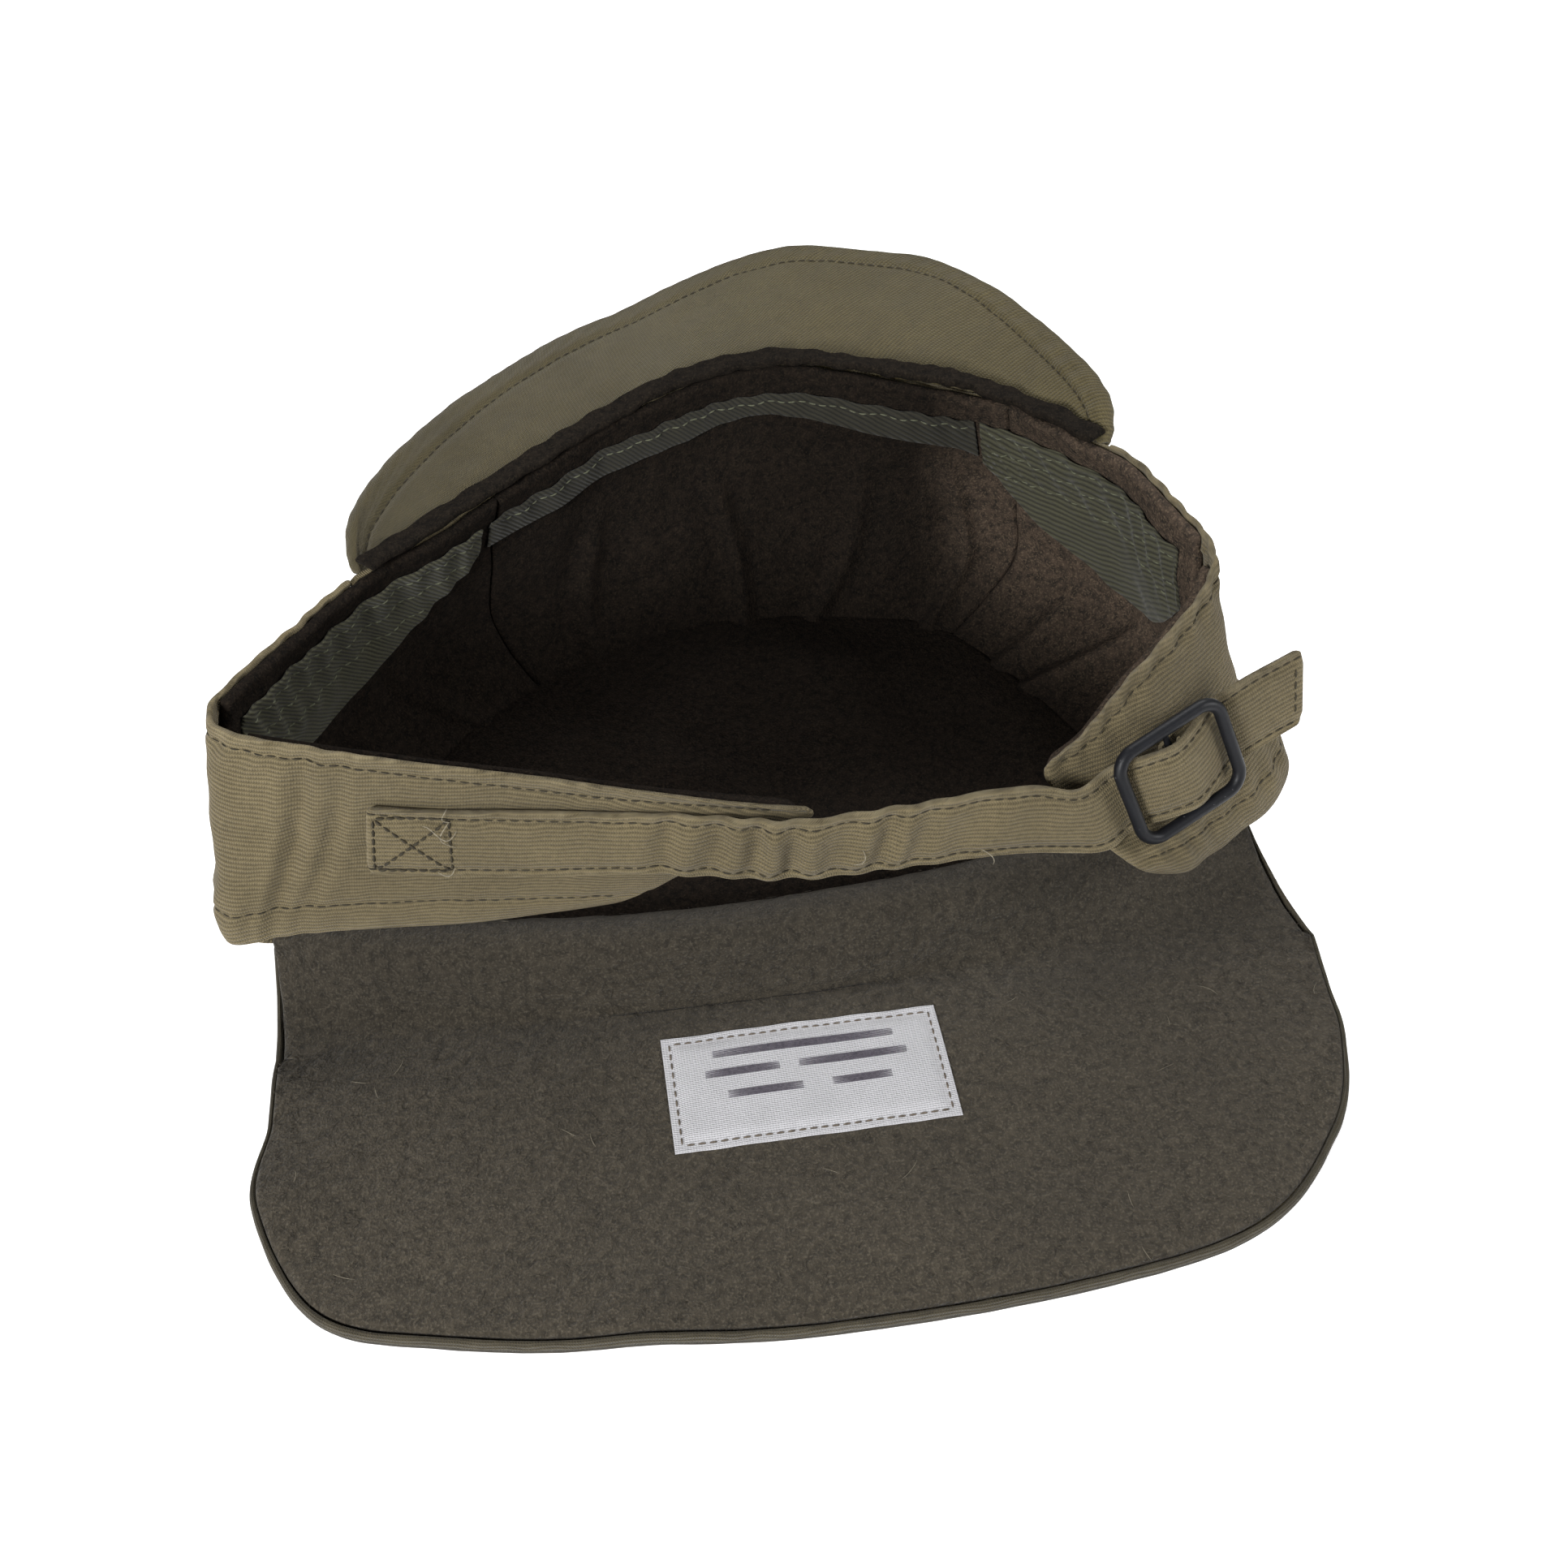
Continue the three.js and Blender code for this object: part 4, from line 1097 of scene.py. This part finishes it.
def build_strap():
    surface = round_corners(strap, 205, STRAP_WIDTH, 1.6, start=True, end=True)
    sheet = Sheet(surface, -STRAP_THICK, 0, strap_bend, spacing=min(STEP, 0.8))
    cloth = sheet.piece("strap_cloth", CORDED)
    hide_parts("strap", "strap_tail")
    runs = stitch_runs(sheet.edge_line("top", 2.0)) + stitch_runs(sheet.edge_line("bottom", 2.0))
    runs += stitch_runs(sheet.edge_line("right", 2.2, 1, 0.15, 0.85))
    stitching = threads("strap_stitching", runs, 0.2, KHAKI_THREAD)
    box = []
    for path in BOX_SEAMS:
        for start, end in zip(path, path[1:]):
            across, up = (np.linspace(start[k], end[k], 20) for k in (0, 1))
            box += stitch_runs(sheet.spot(across, up), 2.0, 1.6, 0.26)
    settle(threads("box_stitching", box, 0.3, KHAKI_THREAD), "corded_cotton")
    start, end = in_buckle(14.2, 0, -2.6), in_buckle(18.5, 0, -2.6)
    for piece in (cloth, stitching):
        tuple(place(start))
        tuple(place(end))
        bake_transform(piece)
    return sheet


TAB_PATH = [
    [14, -5.6], [8, -5.0], [3, -3.8], [0, -2.9], [-1.2, -2.4], [-1.75, -1.2], [-1.2, 0.05],
    [0, 0.5], [1.4, 0], [2.8, -1.5],
]


def build_buckle():
    halves = (BUCKLE_LENGTH / 2 - WIRE - CORNER, BUCKLE_HEIGHT / 2 - WIRE - CORNER)
    turns = np.linspace(0, 2 * math.pi, 96, endpoint=False)
    centre = np.stack([halves[0] * np.sign(np.cos(turns)), halves[1] * np.sign(np.sin(turns))], axis=-1)
    roll = np.linspace(0, 2 * math.pi, 16, endpoint=False)
    reach = CORNER + WIRE * np.cos(roll)
    x = centre[:, :1] + reach * np.cos(turns)[:, None]
    y = centre[:, 1:] + reach * np.sin(turns)[:, None]
    rings = in_buckle(x, y, WIRE * np.sin(roll) + 0 * x)
    number = np.arange(rings.shape[0] * rings.shape[1]).reshape(rings.shape[:2]).T
    faces = tube_faces(np.concatenate([number, number[:1]]))
    wire = new_piece("buckle_wire", rings.reshape(-1, 3), faces, ENAMEL)
    settle(wire, "black_enamel", "buckle_frame", body="buckle")

    reach = BUCKLE_HEIGHT / 2 - 2 * WIRE + 0.5
    axis = in_buckle(np.zeros(24), np.linspace(-reach, reach, 24), -1.2)
    bar = threads("buckle_middle_bar", [axis], 0.95, ENAMEL, 16)
    settle(bar, "black_enamel", "buckle_bar", body="buckle")

    def surface(a, b):
        line = by_length([[along, 0, out] for along, out in TAB_PATH], a)
        return in_buckle(line[..., 0], (STRAP_WIDTH - 3) * (b - 0.5), line[..., 2])

    tab = Sheet(surface, -0.45, 0.45, spacing=min(STEP, 0.7))
    settle(tab.piece("buckle_tab_cloth", CORDED), "corded_cotton", "buckle_tab")


# ---- Loose fibres and thread ends ----------------------
def laid_run(point, normal, heading, ahead, aside, rise):
    """A run of points that sets off from point across a face, in mm ahead, aside and off it."""
    forward = unit(np.cross(normal, heading))
    sideways = np.cross(normal, forward)
    flat = np.outer(ahead, forward) + np.outer(aside, sideways)
    return point + flat + np.outer(rise, normal)


def fibre_runs(sheet, side, count, lengths, seed, keep):
    """Curled fibres that lie on a face at random, each a run of five points."""
    random = np.random.default_rng(seed)
    rows, columns = sheet.a.shape
    i = random.uniform(2, rows - 3, count)
    j = random.uniform(2, columns - 3, count)
    points, normals = sheet.at(i, j, side)
    runs = []
    for point, normal in zip(points, normals):
        heading = random.normal(size=3)
        length = random.uniform(*lengths)
        t = np.linspace(-0.5, 0.5, 5)
        curl = random.uniform(-0.5, 0.5) * length
        rise = random.uniform(0.05, 0.35) + random.uniform(0, 0.12) * length * (t + 0.5)
        if keep(point):
            runs.append(laid_run(point, normal, heading, t * length, curl * t ** 2, rise))
    return runs


def off_label(point):
    beside = abs(point[0] - LABEL["x"]) > LABEL["width"] / 2 + 2
    return beside or abs(point[1] - LABEL["y"]) > LABEL["depth"] / 2 + 2


def thread_ends(sheet, places, seed):
    """Frayed ends of sewing thread; places are (u, v) on the sheet's face."""
    random = np.random.default_rng(seed)
    runs = []
    for u, v in places:
        (point,), (normal,) = sheet.spot([u], [v])
        heading = random.normal(size=3)
        t = np.linspace(0, 1, 9)
        length = random.uniform(3, 7)
        curl = 0.3 * length * np.sin(t * random.uniform(2, 5))
        rise = 0.2 + 1.1 * np.sin(t * 2.4)
        runs.append(laid_run(point, normal, heading, t * length, curl, rise))
    return runs


# ---- Assembly ------------------------------------------
def build():
    cap_runs = build_crown() + build_band() + build_visor()
    settle(threads("cap_stitching", cap_runs, 0.2, KHAKI_THREAD), "corded_cotton")
    build_lining()
    settle(threads("facing_stitching", build_facings(), 0.2, PALE_THREAD), "cotton_twill")
    cloth, wool, flap_pieces = build_flap()
    label_pieces = build_label()
    strap_sheet = build_strap()
    build_buckle()

    fuzz = threads("flap_fibres", fibre_runs(wool, 1, 1500, (1.0, 3.0), 11, off_label), 0.06, WOOL, 3)
    lint = threads("flap_lint", fibre_runs(wool, 1, 22, (2.0, 5.0), 5, off_label), 0.05, LINT, 3)
    for piece in (fuzz, lint):
        fold_with_flap(piece)
    frays = thread_ends(strap_sheet, ((17, 3), (17.5, 8), (18, 12), (17, 13.5), (96, 8), (120, 3)), 4)
    settle(threads("loose_threads", frays, 0.1, LINT), "corded_cotton")

    cloth.area()
    wool.area()


FLOOR_DEPTH = -0.2  # just under the cap, in mm
FLOOR_REACH = 2500
SWEEP = [[600, -0.1], [1100, 4], [1700, 60], [2200, 350], [2450, 1000], [2500, 2600]]  # radius, height


def glowing_look(name, strength):
    look = plain_look(name, tint(250, 250, 250), tint(246, 246, 247), 0.05, 0.8, 0.0)
    shader = look.node_tree.nodes["Principled BSDF"]
    shader.inputs["Emission Color"].default_value = (1, 1, 1, 1)
    shader.inputs["Emission Strength"].default_value = strength
    return look


def add_floor():
    """A pale floor, and a white sweep that rises round it and lights nothing."""
    corners = [[x, y, FLOOR_DEPTH] for x, y in ((-1, -1), (1, -1), (1, 1), (-1, 1))]
    corners = np.array(corners) * (FLOOR_REACH, FLOOR_REACH, 1)
    new_piece("floor", corners, [[0, 1, 2, 3]], glowing_look("floor", 0.5))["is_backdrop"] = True
    turn = np.linspace(0, 2 * math.pi, 64, endpoint=False)
    rings = np.array([[[radius * math.cos(t), radius * math.sin(t), height] for t in turn]
                      for radius, height in SWEEP])
    number = np.arange(rings.shape[0] * rings.shape[1]).reshape(rings.shape[:2])
    sweep = new_piece("sweep", rings.reshape(-1, 3), tube_faces(number), glowing_look("sweep", 1.0))
    for rays in ("diffuse", "glossy", "transmission", "shadow"):
        setattr(sweep, f"visible_{rays}", False)
    sweep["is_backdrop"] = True


add_camera()
add_studio()
build()
add_floor()
boxes = {"cad": CAD_BOX, "visual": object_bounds()}
boxes = {name: [[float(x) for x in corner] for corner in box] for name, box in boxes.items()}
